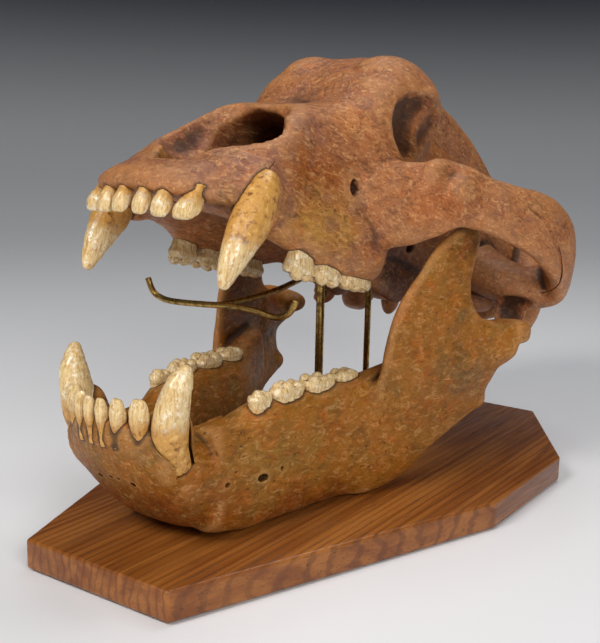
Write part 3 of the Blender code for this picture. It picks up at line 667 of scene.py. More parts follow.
def cranium_marks(skin):
    """Sockets and holes in one cutter, sutures and cracks in another."""
    tree = BVHTree.FromObject(skin, bpy.context.evaluated_depsgraph_get())
    pits, grooves = bmesh.new(), bmesh.new()
    for side in (1, -1):
        add_sweep(pits, widened(UPPER_CANINE[:-1], 0.05, 0.03), steps=4, count=28, side=side)
        for x, s, z, *radii in CRANIUM_HOLES:
            add_lump(pits, (x, s, z), radii, side, 3)
        for line, width, depth in ((ARCH_SUTURE, 0.06, 0.2), (LACRIMAL_SUTURE, 0.025, 0.09)):
            path = smooth_rows([(side * x, s, z) for x, s, z in line], 4)
            add_groove(grooves, on_skin(tree, CRANIUM, path), width, depth)
    add_groove(grooves, on_skin(tree, CRANIUM, SOCKET_CRACK), 0.035, 0.2)
    return piece_from("cranium_pits", pits, CRANIUM), piece_from("grooves", grooves, CRANIUM)


def above_board(bone):
    """Keeps a bone's underside just clear of the board."""
    points, _ = mesh_points(bone.data)
    points[:, 2] = np.maximum(points[:, 2], BASE_THICKNESS + GAP)
    move_points(bone.data, points)


def finished_bone(bone, rounds, hollows, layers, marks, frame):
    """A bone melted into one skin, hollowed, weathered and marked."""
    fuse(bone, FINE, rounds)
    cut(bone, hollows())
    fuse(bone, FINE, 6)
    weather(bone, frame, layers)
    for cutter in marks(bone):
        cut(bone, cutter)
    above_board(bone)
    limit_faces(bone, MOST_FACES)
    smooth_shade(bone)
    return bone


def cranium():
    return finished_bone(cranium_solid(), 20, cranium_hollows, [
        (3.2, 0.07, everywhere),
        (0.9, 0.022, everywhere),
        (0.35, 0.03, near((3.5, 32, 8), (4.0, 13, 8))),
        (0.3, 0.05, near((4.6, 5, 0), (2.2, 4.2, 1.5))),
        (0.3, 0.045, near((4.7, 15, -0.6), (1.6, 6.5, 1.2))),
        (0.5, 0.05, near((6.0, 43, 5), (4.5, 4.5, 8))),
        (0.5, 0.22, near((1.6, 5.8, 3.0), (2.2, 3.6, 1.5))),
        (0.4, 0.09, near((4.3, 2.9, 0.7), (0.9, 1.2, 1.2))),
    ], cranium_marks, CRANIUM)


# -------- the jaw
def ramus_ring(row, side):
    """One level section of the upright part of the jaw."""
    z, front_x, front_s, back_x, back_s, half = row
    front, back = Vector((side * front_x, front_s, z)), Vector((side * back_x, back_s, z))
    along = (back - front) / 2
    across = along.cross(Vector((0, 0, 1))).normalized() * half
    return oval((front + back) / 2, along, across, 2.6, 40)


def jaw_solid():
    bm = bmesh.new()
    add_loft(bm, [upright(*row, 2.6, 40) for row in smooth_rows(CHIN, 4)])
    for side in (1, -1):
        add_loft(bm, [upright(s, half, top, bottom, 2.8, 32, side * x)
                      for s, x, half, top, bottom in smooth_rows(JAW_BODY, 4)])
        add_loft(bm, [ramus_ring(row, side) for row in smooth_rows(JAW_RAMUS, 4)])
        for rows in (JAW_CONDYLE, JAW_NECK):
            add_sweep(bm, rows, steps=6, count=28, side=side)
        for lump in JAW_LUMPS:
            add_lump(bm, lump[:3], lump[3:], side, 4)
    return piece_from("jaw", bm, JAW)


def jaw_hollows():
    bm = bmesh.new()
    add_passage(bm, TONGUE_HOLLOW, count=32)
    for side in (1, -1):
        add_lump(bm, *MASSETER_HOLLOW, side, 4)
    return piece_from("jaw_hollows", bm, JAW)


# x, s, z beside the skin and radii of the holes in both halves of the jaw
JAW_HOLES = [
    (5.6, 8.3, -4.2, 0.9, 0.42, 0.26),
    (5.7, 10.0, -3.9, 0.6, 0.17, 0.17),
    (5.2, 5.6, -4.1, 0.8, 0.24, 0.16),
    (1.3, 0.8, -3.9, 0.2, 0.8, 0.16),
    (0.3, 0.4, -3.9, 0.14, 0.8, 0.1),
    (7.4, 25.0, -0.6, 0.7, 0.35, 0.45),
]


def jaw_marks(skin):
    """The canine sockets and the holes for nerves and vessels, cut in from the skin."""
    tree = BVHTree.FromObject(skin, bpy.context.evaluated_depsgraph_get())
    bm = bmesh.new()
    for side in (1, -1):
        add_sweep(bm, widened(LOWER_CANINE[:-1], 0.1, 0.12), steps=4, count=28, side=side)
        for x, s, z, *radii in JAW_HOLES:
            add_lump(bm, *on_skin(tree, JAW, [(side * x, s, z)]), radii, 1, 3)
    return [piece_from("jaw_marks", bm, JAW)]


def jaw():
    return finished_bone(jaw_solid(), 17, jaw_hollows, [
        (2.8, 0.06, everywhere),
        (0.9, 0.02, everywhere),
        (0.35, 0.045, near((8.6, 26, 1), (2.5, 5, 5))),
        (0.3, 0.05, near((4.0, 1.5, -1.5), (2.0, 2.2, 2.0))),
        (0.3, 0.04, near((4.5, 13.5, 0), (1.6, 7, 0.8))),
    ], jaw_marks, JAW)


# -------- teeth
def round_end(rows):
    """The rows with a domed end after the last one."""
    x, s, z, half, depth = rows[-1]
    ahead = (Vector(rows[-1][:3]) - Vector(rows[-2][:3])).normalized()
    out = list(rows)
    for share, height in ((0.86, 0.35), (0.62, 0.62), (0.3, 0.8)):
        place = Vector((x, s, z)) + ahead * (half * height)
        out.append((*place, half * share, depth * share))
    return out


def add_canine(bm, rows, side):
    add_sweep(bm, round_end(rows), steps=5, count=32, side=side)


# x, s, z of the root and of the tip, half width, half depth
UPPER_INCISORS = [
    (0.75, 0.4, 1.2, 0.76, 0.0, -0.95, 0.48, 0.5),
    (2.0, 0.65, 1.2, 2.05, 0.2, -0.97, 0.54, 0.55),
    (3.42, 1.7, 1.2, 3.25, 0.72, -0.9, 0.7, 0.74),
]
LOWER_INCISORS = [
    (0.45, -0.2, -1.3, 0.45, -0.75, 1.5, 0.33, 0.45),
    (1.3, 0.0, -1.3, 1.4, -0.45, 1.6, 0.42, 0.5),
    (2.3, 0.5, -1.3, 2.5, 0.1, 1.65, 0.56, 0.55),
]


def add_incisor(bm, row, side):
    """A chisel-shaped front tooth with a waisted neck."""
    x, s, z, tip_x, tip_s, tip_z, half, depth = row
    root = Vector((side * x, s, z))
    tip = Vector((side * tip_x, tip_s, tip_z))
    profile = ((0, 0.62, 0.8), (0.35, 0.66, 0.86), (0.52, 0.84, 1.0), (0.7, 1.0, 0.92),
               (0.85, 0.98, 0.66), (0.95, 0.86, 0.42), (1.0, 0.6, 0.22))
    add_loft(bm, [oval(root.lerp(tip, share), Vector((side * half * width, 0, 0)),
                       Vector((0, depth * thick, 0)), 2.5, 20)
                  for share, width, thick in smooth_rows(profile, 3)])


# front s, back s, x at the front and back, half width, crown z, gum z, cusps as places along
# and across the crown with a height and a radius
UPPER_GRINDERS = [
    (9.35, 11.65, 4.6, 4.7, 0.68, -1.95, -1.15,
     [(0.3, 0.4, 0.46, 0.5), (0.75, 0.35, 0.36, 0.42), (0.6, -0.5, 0.28, 0.4)]),
    (11.8, 14.6, 4.75, 4.75, 0.85, -1.8, -1.0,
     [(0.26, 0.45, 0.42, 0.52), (0.74, 0.45, 0.38, 0.5), (0.25, -0.5, 0.28, 0.45),
      (0.72, -0.5, 0.26, 0.42)]),
    (14.75, 19.0, 4.75, 4.5, 0.92, -1.6, -0.7,
     [(0.17, 0.45, 0.38, 0.54), (0.45, 0.45, 0.34, 0.5), (0.2, -0.5, 0.26, 0.45),
      (0.5, -0.5, 0.24, 0.4), (0.72, 0.3, 0.2, 0.42), (0.75, -0.35, 0.18, 0.4),
      (0.9, 0.0, 0.14, 0.4)]),
]
LOWER_GRINDERS = [
    (8.1, 9.9, 4.0, 4.1, 0.5, 0.66, 0.1,
     [(0.35, 0.1, 0.36, 0.42), (0.75, -0.35, 0.2, 0.3), (0.75, 0.4, 0.2, 0.3)]),
    (10.0, 12.8, 4.2, 4.45, 0.62, 0.88, 0.2,
     [(0.15, 0.0, 0.36, 0.4), (0.4, 0.4, 0.4, 0.42), (0.42, -0.45, 0.36, 0.36),
      (0.75, 0.45, 0.3, 0.4), (0.78, -0.45, 0.32, 0.38)]),
    (12.9, 15.8, 4.5, 4.7, 0.78, 0.95, 0.3,
     [(0.2, 0.45, 0.38, 0.48), (0.22, -0.45, 0.36, 0.44), (0.55, 0.5, 0.26, 0.4),
      (0.68, -0.45, 0.32, 0.42), (0.82, 0.4, 0.28, 0.42)]),
    (15.9, 18.4, 4.8, 4.9, 0.7, 1.02, 0.45,
     [(0.25, 0.4, 0.26, 0.44), (0.28, -0.4, 0.28, 0.42), (0.65, 0.35, 0.2, 0.4),
      (0.7, -0.35, 0.2, 0.4)]),
]


def add_grinder(bm, row, side):
    """A low crown with a swollen rim and cusps."""
    front, back, front_x, back_x, half, crown, gum, cusps = row
    up = 1 if crown > gum else -1
    centre = Vector((side * (front_x + back_x) / 2, (front + back) / 2, 0))
    lean = Vector((side * (back_x - front_x) / 2, (back - front) / 2, 0))
    across = Vector((side, 0, 0))
    levels = ((gum - up * 0.9, 0.78), (gum, 0.88), (gum + (crown - gum) * 0.55, 1.0), (crown, 0.9))
    add_loft(bm, [oval(centre + Vector((0, 0, z)), lean * share, across * half * share, 3.0, 20)
                  for z, share in levels])
    for along, out, height, radius in cusps:
        place = centre + lean * (2 * along - 1) * 0.92 + across * (out * half)
        place.z = crown
        add_lump(bm, place, (radius * 0.82, radius, height), 1, 3)


def teeth(name, frame, canine, incisors, grinders):
    """The grinding teeth, front teeth and canines of one bone."""
    pieces = []
    for kind, add, rows, grain, rounds, layers in (
            ("_grinding", add_grinder, grinders, GRINDER_GRAIN, 3, [(0.32, 0.035), (0.12, 0.012)]),
            ("_front", add_incisor, incisors, FRONT_GRAIN, 2, [(0.4, 0.03)]),
            ("_canines", add_canine, [canine], CANINE_GRAIN, 3, [(0.7, 0.03), (0.25, 0.012)])):
        bm = bmesh.new()
        for side in (1, -1):
            for row in rows:
                add(bm, row, side)
        piece = piece_from(name + kind, bm, frame)
        fuse(piece, grain, rounds)
        weather(piece, frame, [(size, height, everywhere) for size, height in layers])
        piece.data.shade_smooth()
        pieces.append(piece)
    return pieces


# -------- bones inside the nose
def nose_bones():
    """The septum and the low scrolls in front of it."""
    bm = bmesh.new()
    add_sweep(bm, [(0, 8.6, 3.0, 0.16, 0.9), (0, 12, 4.2, 0.16, 2.4), (0, 15.5, 4.8, 0.16, 2.6)],
              steps=4, count=20)
    for side in (1, -1):
        for x, s, z, *radii in ((1.3, 5.2, 2.2, 0.7, 1.3, 0.42), (1.8, 6.8, 2.4, 0.6, 1.5, 0.5),
                                (1.2, 8.6, 2.9, 0.6, 1.8, 0.8), (2.0, 11.0, 4.2, 0.5, 2.4, 1.2)):
            add_lump(bm, (x, s, z), radii, side, 3)
    bones = piece_from("nose_bones", bm, CRANIUM)
    fuse(bones, NOSE_GRAIN, 2)
    weather(bones, CRANIUM, [(0.5, 0.16, everywhere), (0.2, 0.05, everywhere)])
    bones.data.shade_smooth()
    return bones


# -------- the stand
def tube(name, points, radius):
    """A smooth round bar with domed ends."""
    bm = bmesh.new()
    places = [Vector(point) / CM for point in points]
    rows = [(*place, radius / CM, radius / CM) for place in places]
    ends = []
    for row, inner in ((rows[0], places[1]), (rows[-1], places[-2])):
        ahead = (Vector(row[:3]) - inner).normalized()
        tip = [(*(Vector(row[:3]) + ahead * (radius / CM * high)), radius / CM * wide,
                radius / CM * wide) for wide, high in ((0.9, 0.1), (0.55, 0.22))]
        ends.append(tip)
    add_sweep(bm, list(reversed(ends[0])) + rows + ends[1], steps=2, count=24)
    bar = piece_from(name, bm, Matrix.Scale(CM, 4))
    bar.data.shade_smooth()
    return bar


def cradle_points():
    """The crossbar under the rostrum, with its turned-up ends, from right to left."""
    rows = [(-1.0, 0.0120), (-0.93, 0.0042), (-0.80, 0.0004), (-0.60, -0.0006), (-0.2, 0.0006),
            (0.2, 0.0022), (0.5, 0.0016), (0.72, -0.0004), (0.86, 0.0010), (0.95, 0.0052),
            (1.0, 0.0110)]
    return [(x * CRADLE_HALF, CRADLE_FORWARD, CRADLE_Z + z) for x, z in smooth_rows(rows, 4)]


def arm_points():
    """From the front rod to the crossbar's middle."""
    start = Vector((0.0, ROD_FRONT_Y - ROD_FRONT_RADIUS - GAP, CRADLE_Z + 0.012))
    end = Vector((0.0, CRADLE_FORWARD + 2 * CRADLE_RADIUS + GAP, CRADLE_Z + 0.0015))
    count = 24
    return [start.lerp(end, i / count) - Vector((0, 0, 0.004 * math.sin(math.pi * i / count)))
            for i in range(count + 1)]


def rod(name, y, top, radius):
    """A straight upright rod with its foot in the board."""
    bm = bmesh.new()
    bottom = BASE_THICKNESS - ROD_SEAT
    middle = Matrix.Translation((0, y, (bottom + top) / 2))
    bmesh.ops.create_cone(bm, cap_ends=True, segments=32, radius1=radius, radius2=radius,
                          depth=top - bottom, matrix=middle)
    bar = piece_from(name, bm, Matrix())
    smooth_shade(bar)
    return bar


def base_outline():
    """The corners of the board, anticlockwise from the front left."""
    front = -BASE_LENGTH / 2
    side = [(BASE_FRONT_HALF, front), (BASE_HALF, front + BASE_FLARE_END),
            (BASE_HALF, front + BASE_TAPER_START), (BASE_BACK_HALF, front + BASE_LENGTH)]
    return side + [(-x, y) for x, y in reversed(side)]


def board():
    outline = base_outline()
    bm = bmesh.new()
    verts = bmesh.ops.create_circle(bm, segments=len(outline), radius=1.0, cap_ends=True)["verts"]
    for vert, (x, y) in zip(verts, outline):
        vert.co = (x, y, 0.0)
    lifted = bmesh.ops.extrude_face_region(bm, geom=list(bm.faces))["geom"]
    bmesh.ops.translate(bm, vec=(0, 0, BASE_THICKNESS),
                        verts=[v for v in lifted if isinstance(v, bmesh.types.BMVert)])
    bmesh.ops.bevel(bm, geom=list(bm.edges), offset=BASE_EDGE_ROUND, offset_type="OFFSET",
                    segments=4, profile=0.5, affect="EDGES", material=-1)
    plank = piece_from("base_board", bm, Matrix())
    smooth_shade(plank, math.radians(30))
    return plank


# -------- materials
class Surface:
    """A material and short ways to add nodes to it."""

    def __init__(self, name, roughness, metallic=0.0, shine=0.5):
        self.material = bpy.data.materials.new(name)
        self.material.use_nodes = True
        self.tree = self.material.node_tree
        self.shader = self.tree.nodes["Principled BSDF"]
        self.shader.inputs["Roughness"].default_value = roughness
        self.shader.inputs["Specular IOR Level"].default_value = shine
        self.shader.inputs["Metallic"].default_value = metallic

    def node(self, kind, links=None, values=None, **settings):
        made = self.tree.nodes.new("ShaderNode" + kind)
        for key, value in settings.items():
            setattr(made, key, value)
        for key, value in (values or {}).items():
            made.inputs[key].default_value = value
        for key, source in (links or {}).items():
            self.tree.links.new(source, made.inputs[key])
        return made

    def place(self, frame_origin=(0, 0, 0), tilt=0.0, stretch=(1, 1, 1)):
        """Object coordinates as centimetres of a bone's frame, then stretched."""
        coords = self.node("TexCoord").outputs["Object"]
        turn = Matrix.Rotation(tilt, 3, "X")
        shift = turn @ (Vector(frame_origin) / -CM)
        bone = self.node("Mapping", {"Vector": coords},
                         {"Location": shift, "Rotation": (tilt, 0, 0),
                          "Scale": (1 / CM, 1 / CM, 1 / CM)}).outputs[0]
        return self.node("Mapping", {"Vector": bone}, {"Scale": stretch}).outputs[0]

    def noise(self, where, scale, detail=4.0, rough=0.6, warp=0.0):
        return self.node("TexNoise", {"Vector": where},
                         {"Scale": scale, "Detail": detail, "Roughness": rough,
                          "Distortion": warp}).outputs[0]

    def span(self, value, low, high, to_low=0.0, to_high=1.0):
        """A value's stretch from low to high, made to_low to to_high and held at its ends."""
        made = self.node("MapRange", {"Value": value},
                         {"From Min": low, "From Max": high, "To Min": to_low, "To Max": to_high},
                         interpolation_type="SMOOTHSTEP")
        return made.outputs[0]

    def maths(self, how, first, second):
        links, values = {}, {}
        for slot, item in enumerate((first, second)):
            (values if isinstance(item, (int, float)) else links)[slot] = item
        return self.node("Math", links, values, operation=how).outputs[0]

    def mix(self, first, second, share):
        """Colours mixed; each may be a socket or a colour in screen values."""
        made = self.node("Mix", data_type="RGBA")
        for slot, item in ((6, first), (7, second)):
            if isinstance(item, tuple):
                made.inputs[slot].default_value = (*linear(item), 1.0)
            else:
                self.tree.links.new(item, made.inputs[slot])
        self.tree.links.new(share, made.inputs[0])
        return made.outputs[2]

    def layers(self, colour, rows):
        """Colours laid over one another, each up to a share as its value runs low to high."""
        for overlay_colour, value, low, high, most in rows:
            colour = self.mix(colour, overlay_colour, self.span(value, low, high, 0, most))
        return colour

    def weighted(self, first, share, second, other_share):
        return self.maths("ADD", self.maths("MULTIPLY", first, share),
                          self.maths("MULTIPLY", second, other_share))

    def value(self, name):
        return self.node("Attribute", attribute_name=name).outputs["Fac"]

    def tint(self):
        return self.node("Attribute", attribute_name="tint").outputs["Color"]

    def finish(self, colour, height, strength, depth, roughness):
        self.tree.links.new(colour, self.shader.inputs["Base Color"])
        bump = self.node("Bump", {"Height": height},
                         {"Strength": strength, "Distance": depth})
        self.tree.links.new(bump.outputs[0], self.shader.inputs["Normal"])
        self.tree.links.new(roughness, self.shader.inputs["Roughness"])
        return self.material


def bone_material(name, origin, tilt, warm, cool, grain, strength):
    """Old waxed bone: stains, short grain strokes, pores, painted shade in its hollows and painted
    highlight on its ridges.
    """
    bone = Surface(name, 0.5, shine=0.34)
    where = bone.place(origin, tilt)
    along = bone.place(origin, tilt, grain)
    big = bone.noise(where, 0.42, 3, 0.55, 0.6)
    mid = bone.noise(where, 0.9, 6, 0.68, 0.5)
    strokes = bone.noise(along, 3.6, 5, 0.75, 0.9)
    long_strokes = bone.noise(along, 1.3, 5, 0.66, 0.7)
    fine = bone.noise(where, 20.0, 3, 0.6)
    pores = bone.noise(along, 6.5, 2, 0.5)
    hollow = bone.value("hollow")
    colour = bone.layers(bone.tint(), [
        (warm, mid, 0.45, 0.68, 0.6),
        (cool, big, 0.5, 0.72, 0.55),
        ((70, 34, 12), long_strokes, 0.48, 0.7, 0.6 * strength),
        ((64, 30, 10), strokes, 0.48, 0.68, 0.75 * strength),
        ((232, 184, 122), strokes, 0.5, 0.32, 0.7 * strength),
        ((36, 16, 6), pores, 0.67, 0.74, 0.7),
        # painted shade darkens the hollows; painted highlight lightens the ridges
        ((30, 14, 6), hollow, 0.01, 0.09, 0.8),
        ((214, 160, 104), hollow, -0.015, -0.08, 0.22),
        # painted shade along the gum lines where the teeth meet the bone
        ((30, 16, 8), bone.value("gum"), 0.3, 0.95, 0.85),
    ])
    height = bone.maths("SUBTRACT", bone.weighted(strokes, 0.9, fine, 0.3),
                        bone.span(pores, 0.64, 0.76, 0, 0.6))
    rough = bone.span(mid, 0.3, 0.7, 0.36, 0.56)
    return bone.finish(colour, height, 0.75, 0.0009, rough)


def enamel_material(name, origin, tilt, gum_z, up):
    """Polished old enamel that turns to stained root near the gum, with painted shade in its
    hollows.
    """
    tooth = Surface(name, 0.25)
    where = tooth.place(origin, tilt)
    long = tooth.place(origin, tilt, (1.0, 1.0, 0.16))
    height_z = tooth.node("SeparateXYZ", {"Vector": where}).outputs[2]
    wander = tooth.maths("MULTIPLY", tooth.noise(where, 1.6, 4, 0.6), 1.3)
    line = tooth.maths("ADD", tooth.maths("MULTIPLY", height_z, float(up)), wander)
    root = tooth.span(line, up * gum_z + 1.15, up * gum_z + 0.1)
    streaks = tooth.noise(long, 8.0, 4, 0.65, 0.3)
    cracks = tooth.maths("SUBTRACT", tooth.noise(long, 3.0, 2, 0.5, 1.2), 0.5)
    veins = tooth.maths("ABSOLUTE", cracks, 0)
    mottle = tooth.noise(where, 2.6, 5, 0.65, 0.4)
    crown = tooth.layers((230, 202, 146), [
        ((178, 122, 58), streaks, 0.42, 0.7, 0.8),
        ((252, 240, 212), mottle, 0.5, 0.66, 0.7),
    ])
    stained = tooth.layers(TOOTH_ROOT, [
        ((112, 58, 18), mottle, 0.5, 0.7, 0.9),
        ((240, 206, 130), mottle, 0.45, 0.3, 0.6),
    ])
    colour = tooth.layers(tooth.mix(crown, stained, root), [
        ((88, 48, 18), veins, 0.007, 0.0, 0.6),
        # painted shade in the tooth's hollows and between its cusps
        ((58, 30, 12), tooth.value("hollow"), 0.006, 0.04, 0.9),
    ])
    height = tooth.weighted(streaks, 0.5, mottle, 0.5)
    return tooth.finish(colour, height, 0.4, 0.0004, tooth.span(root, 0, 1, 0.2, 0.42))


def oak_material():
    """Stained oak: long dark vessels along its length, rays and end grain."""
    oak = Surface("oak", 0.34)
    long = oak.place(stretch=(1.0, 0.045, 1.0))
    rings = oak.noise(long, 0.9, 3, 0.5, 0.8)
    vessels = oak.noise(oak.place(stretch=(1.0, 0.03, 1.0)), 9.0, 4, 0.7, 0.2)
    fine = oak.noise(oak.place(stretch=(1.0, 0.02, 1.0)), 30.0, 2, 0.5)
    broad = oak.noise(oak.place(stretch=(1.0, 0.2, 1.0)), 0.35, 2, 0.5)
    bands = oak.node("TexWave", {"Vector": long}, {"Scale": 0.55, "Distortion": 9.0,
                     "Detail": 3.0, "Detail Scale": 0.8, "Detail Roughness": 0.55},
                     wave_type="BANDS", bands_direction="X").outputs[1]
    colour = oak.layers((128, 70, 22), [
        ((160, 98, 40), rings, 0.35, 0.65, 1.0),
        ((96, 50, 16), bands, 0.55, 0.95, 0.55),
        ((56, 28, 10), vessels, 0.54, 0.7, 0.75),
        ((186, 122, 56), broad, 0.5, 0.75, 0.3),
    ])
    height = oak.maths("SUBTRACT", oak.maths("MULTIPLY", fine, 0.3),
                       oak.span(vessels, 0.54, 0.72, 0, 0.8))
    return oak.finish(colour, height, 0.35, 0.0004, oak.span(vessels, 0.4, 0.7, 0.28, 0.5))


def brass_material():
    """Brass with a brown patina that has worn bright in places."""
    brass = Surface("brass", 0.3, 1.0)
    where = brass.place()
    patches = brass.noise(where, 2.6, 4, 0.6)
    fine = brass.noise(where, 30.0, 3, 0.6)
    colour = brass.mix((178, 146, 82), (96, 72, 38), brass.span(patches, 0.42, 0.66, 0, 0.85))
    return brass.finish(colour, fine, 0.15, 0.0002, brass.span(patches, 0.35, 0.65, 0.26, 0.46))


# -------- colours and painted shade of the bones
MAUVE, ROSE, TAN = (146, 96, 78), (172, 106, 76), (166, 104, 62)
AMBER, OLIVE = (156, 82, 16), (186, 134, 52)
THROAT_SHADE, OCHRE = (62, 26, 14), (156, 98, 16)
# centre x, s, z, radii, colour and strength of each stain and each patch of painted shade; True
# keeps it to that one side
CRANIUM_STAINS_AND_SHADE = [
    ((3.0, 4.0, 3.0), (3.8, 7.5, 3.2), MAUVE, 0.9),
    ((4.0, 9.0, 6.4), (3.0, 4.5, 2.6), MAUVE, 0.7),
    ((5.6, 10.4, 4.4), (2.2, 4.4, 1.8), AMBER, 1.0),
    ((5.2, 10.6, 1.4), (2.4, 5.4, 2.4), OLIVE, 1.0),
    ((5.6, 8.4, 3.0), (1.6, 1.8, 2.4), AMBER, 0.7),
    ((4.4, 13.6, 8.8), (2.4, 2.6, 2.0), (186, 118, 62), 0.8),
    ((8.4, 19.4, 4.6), (3.0, 3.2, 2.4), (176, 98, 44), 0.8),
    ((2.6, 21.0, 14.8), (4.4, 6.4, 3.0), ROSE, 0.8),
    ((12.6, 31.0, 5.4), (2.6, 6.0, 3.6), (166, 98, 52), 0.8),
    ((13.2, 33.6, 4.0), (1.8, 3.0, 3.0), ROSE, 0.5),
    ((6.2, 20.6, 9.8), (2.4, 4.6, 3.2), (150, 84, 22), 1.0),
    ((5.0, 22.0, 8.6), (1.4, 1.4, 3.0), (60, 28, 8), 0.9),
    ((3.6, 31.0, 8.0), (4.8, 14.0, 7.0), (150, 86, 24), 0.95),
    ((0.0, 10.0, 0.6), (4.6, 14.0, 1.5), (118, 62, 16), 0.9),
    # painted shade under the skull, round the throat behind the palate
    ((2.6, 24.4, 0.6), (3.4, 6.4, 3.2), THROAT_SHADE, 1.0),
    ((9.4, 33.6, 0.2), (2.6, 2.8, 1.6), (104, 62, 48), 0.8),
    ((0.0, 44.0, 5.0), (8.0, 5.0, 7.0), (140, 84, 40), 0.7),
    ((1.4, 5.6, 2.8), (2.8, 4.0, 2.0), (176, 116, 34), 1.0),
    # painted shade: near black deep inside the nose passage
    ((0.0, 11.8, 5.4), (4.1, 4.6, 4.0), (8, 4, 2), 1.0),
    ((4.2, 2.9, 0.6), (1.2, 1.6, 1.4), (64, 42, 30), 0.9),
]
JAW_STAINS_AND_SHADE = [
    ((4.6, 10.0, -3.4), (2.4, 5.0, 2.6), (146, 106, 34), 0.8),
    ((3.0, 1.6, -0.8), (3.6, 3.0, 1.6), (112, 82, 40), 0.85),
    ((1.6, 4.0, -5.6), (4.6, 6.4, 4.0), (122, 58, 4), 0.95),
    ((4.8, 14.0, -6.8), (2.6, 9.0, 1.8), (118, 48, 4), 0.9),
    ((6.6, 20.6, 3.6), (1.2, 2.0, 7.6), (186, 98, 12), 0.95),
    ((6.8, 21.4, 1.2), (1.8, 2.0, 2.0), (176, 92, 14), 0.7),
    ((8.8, 27.4, 3.0), (1.8, 2.2, 2.2), (132, 60, 28), 0.8),
    ((8.4, 26.2, 9.8), (1.8, 3.6, 2.6), (70, 34, 14), 1.0),
    ((8.8, 26.0, 0.2), (2.0, 4.4, 2.4), (116, 82, 32), 0.8),
    ((4.8, 17.0, 0.2), (1.8, 4.6, 1.2), (150, 112, 62), 0.6),
    # painted shade: the right half of the jaw darker than the left, its upright part most
    ((-6.4, 22.0, 4.0), (3.2, 6.0, 9.0), (84, 44, 10), 0.95, True),
    ((-4.0, 12.0, -2.0), (2.2, 8.0, 4.0), (128, 78, 12), 0.8, True),
]


# -------- camera, floor and light
def camera():
    data = bpy.data.cameras.new("camera")
    data.lens = 56.724
    data.sensor_fit = "VERTICAL"
    data.sensor_height = 36.0
    data.clip_start = 0.01
    seen_from = bpy.data.objects.new("camera", data)
    yaw, pitch, roll = -0.60353, 0.200441, 0.0229899
    turn = (Matrix.Rotation(-yaw, 3, "Z") @ Matrix.Rotation(math.pi / 2 - pitch, 3, "X")
            @ Matrix.Rotation(roll, 3, "Z"))
    seen_from.matrix_world = Matrix.Translation((0.3952, -0.5997, 0.2691)) @ turn.to_4x4()
    bpy.context.scene.collection.objects.link(seen_from)
    bpy.context.scene.camera = seen_from


def studio_bowl():
    """A pale floor that curves up into a wall all round, painted darker higher up as painted
    shade.
    """
    bm = bmesh.new()
    profile = [(0.0, 0.0), (1.2, 0.0), (1.8, 0.05), (2.3, 0.22), (2.7, 0.6), (2.9, 1.2),
               (2.95, 2.6)]
    verts = [bm.verts.new((radius, 0, height)) for radius, height in smooth_rows(profile, 4)]
    edges = [bm.edges.new(pair) for pair in zip(verts, verts[1:])]
    bmesh.ops.spin(bm, geom=verts + edges, axis=(0, 0, 1), cent=(0, 0, 0), angle=2 * math.pi,
                   steps=96, use_merge=True)
    bmesh.ops.remove_doubles(bm, verts=bm.verts, dist=0.0001)
    bmesh.ops.translate(bm, verts=bm.verts, vec=(0, 0, -0.0002))
    bowl = piece_from("floor", bm, Matrix())
    bowl.data.shade_smooth()
    wall = Surface("studio", 0.7)
    coords = wall.node("TexCoord").outputs["Object"]
    height = wall.node("SeparateXYZ", {"Vector": coords}).outputs[2]
    # painted shade: the wall goes from white at the floor to dark blue-grey higher up
    colour = wall.mix((240, 241, 244), (34, 42, 58), wall.span(height, -0.02, 0.8))
    wall.tree.links.new(colour, wall.shader.inputs["Base Color"])
    bowl.data.materials.append(wall.material)


def soft_light(name, place, size, power, colour=(1, 1, 1)):
    data = bpy.data.lights.new(name, "AREA")
    data.size = size
    data.energy = power
    data.color = colour
    lamp = bpy.data.objects.new(name, data)
    aim = (Vector((0, 0, 0.16)) - Vector(place)).to_track_quat("-Z", "Y")
    lamp.matrix_world = Matrix.Translation(place) @ aim.to_matrix().to_4x4()
    bpy.context.scene.collection.objects.link(lamp)


def lighting():
    soft_light("key", (-0.2, -1.4, 1.3), 0.6, 17.0, (1.0, 0.97, 0.93))
    soft_light("fill", (1.3, -0.9, 0.9), 0.7, 14.0, (1.0, 0.98, 0.96))
    soft_light("top", (0.1, 0.5, 1.6), 0.9, 9.0)
    world = bpy.data.worlds.new("studio")
    world.use_nodes = True
    world.node_tree.nodes["Background"].inputs[0].default_value = (0.62, 0.66, 0.72, 1)
    world.node_tree.nodes["Background"].inputs[1].default_value = 0.16
    bpy.context.scene.world = world
    bpy.context.scene.view_settings.view_transform = "Standard"


# -------- putting it together
def show(piece, material, nodes=()):
    """Gives a piece its finish, its body and the solids that it stands for."""
    piece.data.materials.clear()
    piece.data.materials.append(material)
    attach(piece, BODY)
    if nodes:
        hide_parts(*nodes)


def gum_points(pieces, bone):
    """Points of the teeth that lie close to a bone's skin."""
    tree = BVHTree.FromObject(bone, bpy.context.evaluated_depsgraph_get())
    points = np.concatenate([mesh_points(piece.data)[0][::3] for piece in pieces])
    return points[[tree.find_nearest(Vector(point))[3] < GUM_TOUCH for point in points]]


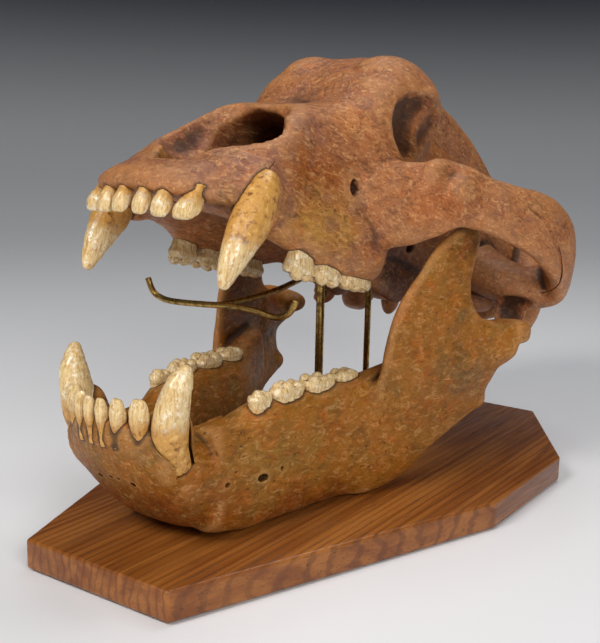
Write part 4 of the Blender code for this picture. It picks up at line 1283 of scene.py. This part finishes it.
def main():
    camera()
    upper = teeth("upper", CRANIUM, UPPER_CANINE, UPPER_INCISORS, UPPER_GRINDERS)
    lower = teeth("lower", JAW, LOWER_CANINE, LOWER_INCISORS, LOWER_GRINDERS)
    skull, mandible, scrolls = cranium(), jaw(), nose_bones()
    write_tint(skull, CRANIUM, TAN, CRANIUM_STAINS_AND_SHADE, gum_points(upper, skull))
    write_tint(mandible, JAW, OCHRE, JAW_STAINS_AND_SHADE, gum_points(lower, mandible))
    # painted shade: the scrolls near black where they lie deep in the nose passage
    write_tint(scrolls, CRANIUM, (176, 116, 34), [((0, 12, 5), (4, 5, 5), (10, 5, 3), 1.0)])
    for piece in upper + lower:
        write_hollows(piece, TOOTH_SOFTENING)

    place = (CRANIUM_ORIGIN, CRANIUM_TILT)
    skull_bone = bone_material("cranium_bone", *place, (184, 104, 42), (132, 86, 74), (1, 0.4, 1),
                               0.7)
    show(skull, skull_bone,
         [part + side for part in ("muzzle_", "forehead_", "braincase_", "cheek_arch_")
          for side in ("left", "right")])
    show(scrolls, skull_bone)
    jaw_bone = bone_material("jaw_bone", JAW_ORIGIN, JAW_TILT, (178, 92, 8), (118, 92, 36),
                             (1, 0.3, 0.8), 0.5)
    show(mandible, jaw_bone, ("jaw_left", "jaw_right"))
    for pieces, origin, tilt, up, lines in (
            (upper, CRANIUM_ORIGIN, CRANIUM_TILT, -1, (-0.1, 0.1, -1.5)),
            (lower, JAW_ORIGIN, JAW_TILT, 1, (-0.3, 0.3, 0.2))):
        for piece, line in zip(pieces, lines):
            show(piece, enamel_material(piece.name + "_enamel", origin, tilt, line, up))

    oak, brass = oak_material(), brass_material()
    show(board(), oak, ("stand_board",))
    for bar, node in (
            (rod("rod_front", ROD_FRONT_Y, ROD_FRONT_TOP, ROD_FRONT_RADIUS), "stand_rod_front"),
            (rod("rod_back", ROD_BACK_Y, ROD_BACK_TOP, ROD_BACK_RADIUS), "stand_rod_back"),
            (tube("arm", arm_points(), CRADLE_RADIUS), "stand_arm"),
            (tube("cradle", cradle_points(), CRADLE_RADIUS), "stand_cradle")):
        show(bar, brass, (node,))
    studio_bowl()
    lighting()


main()
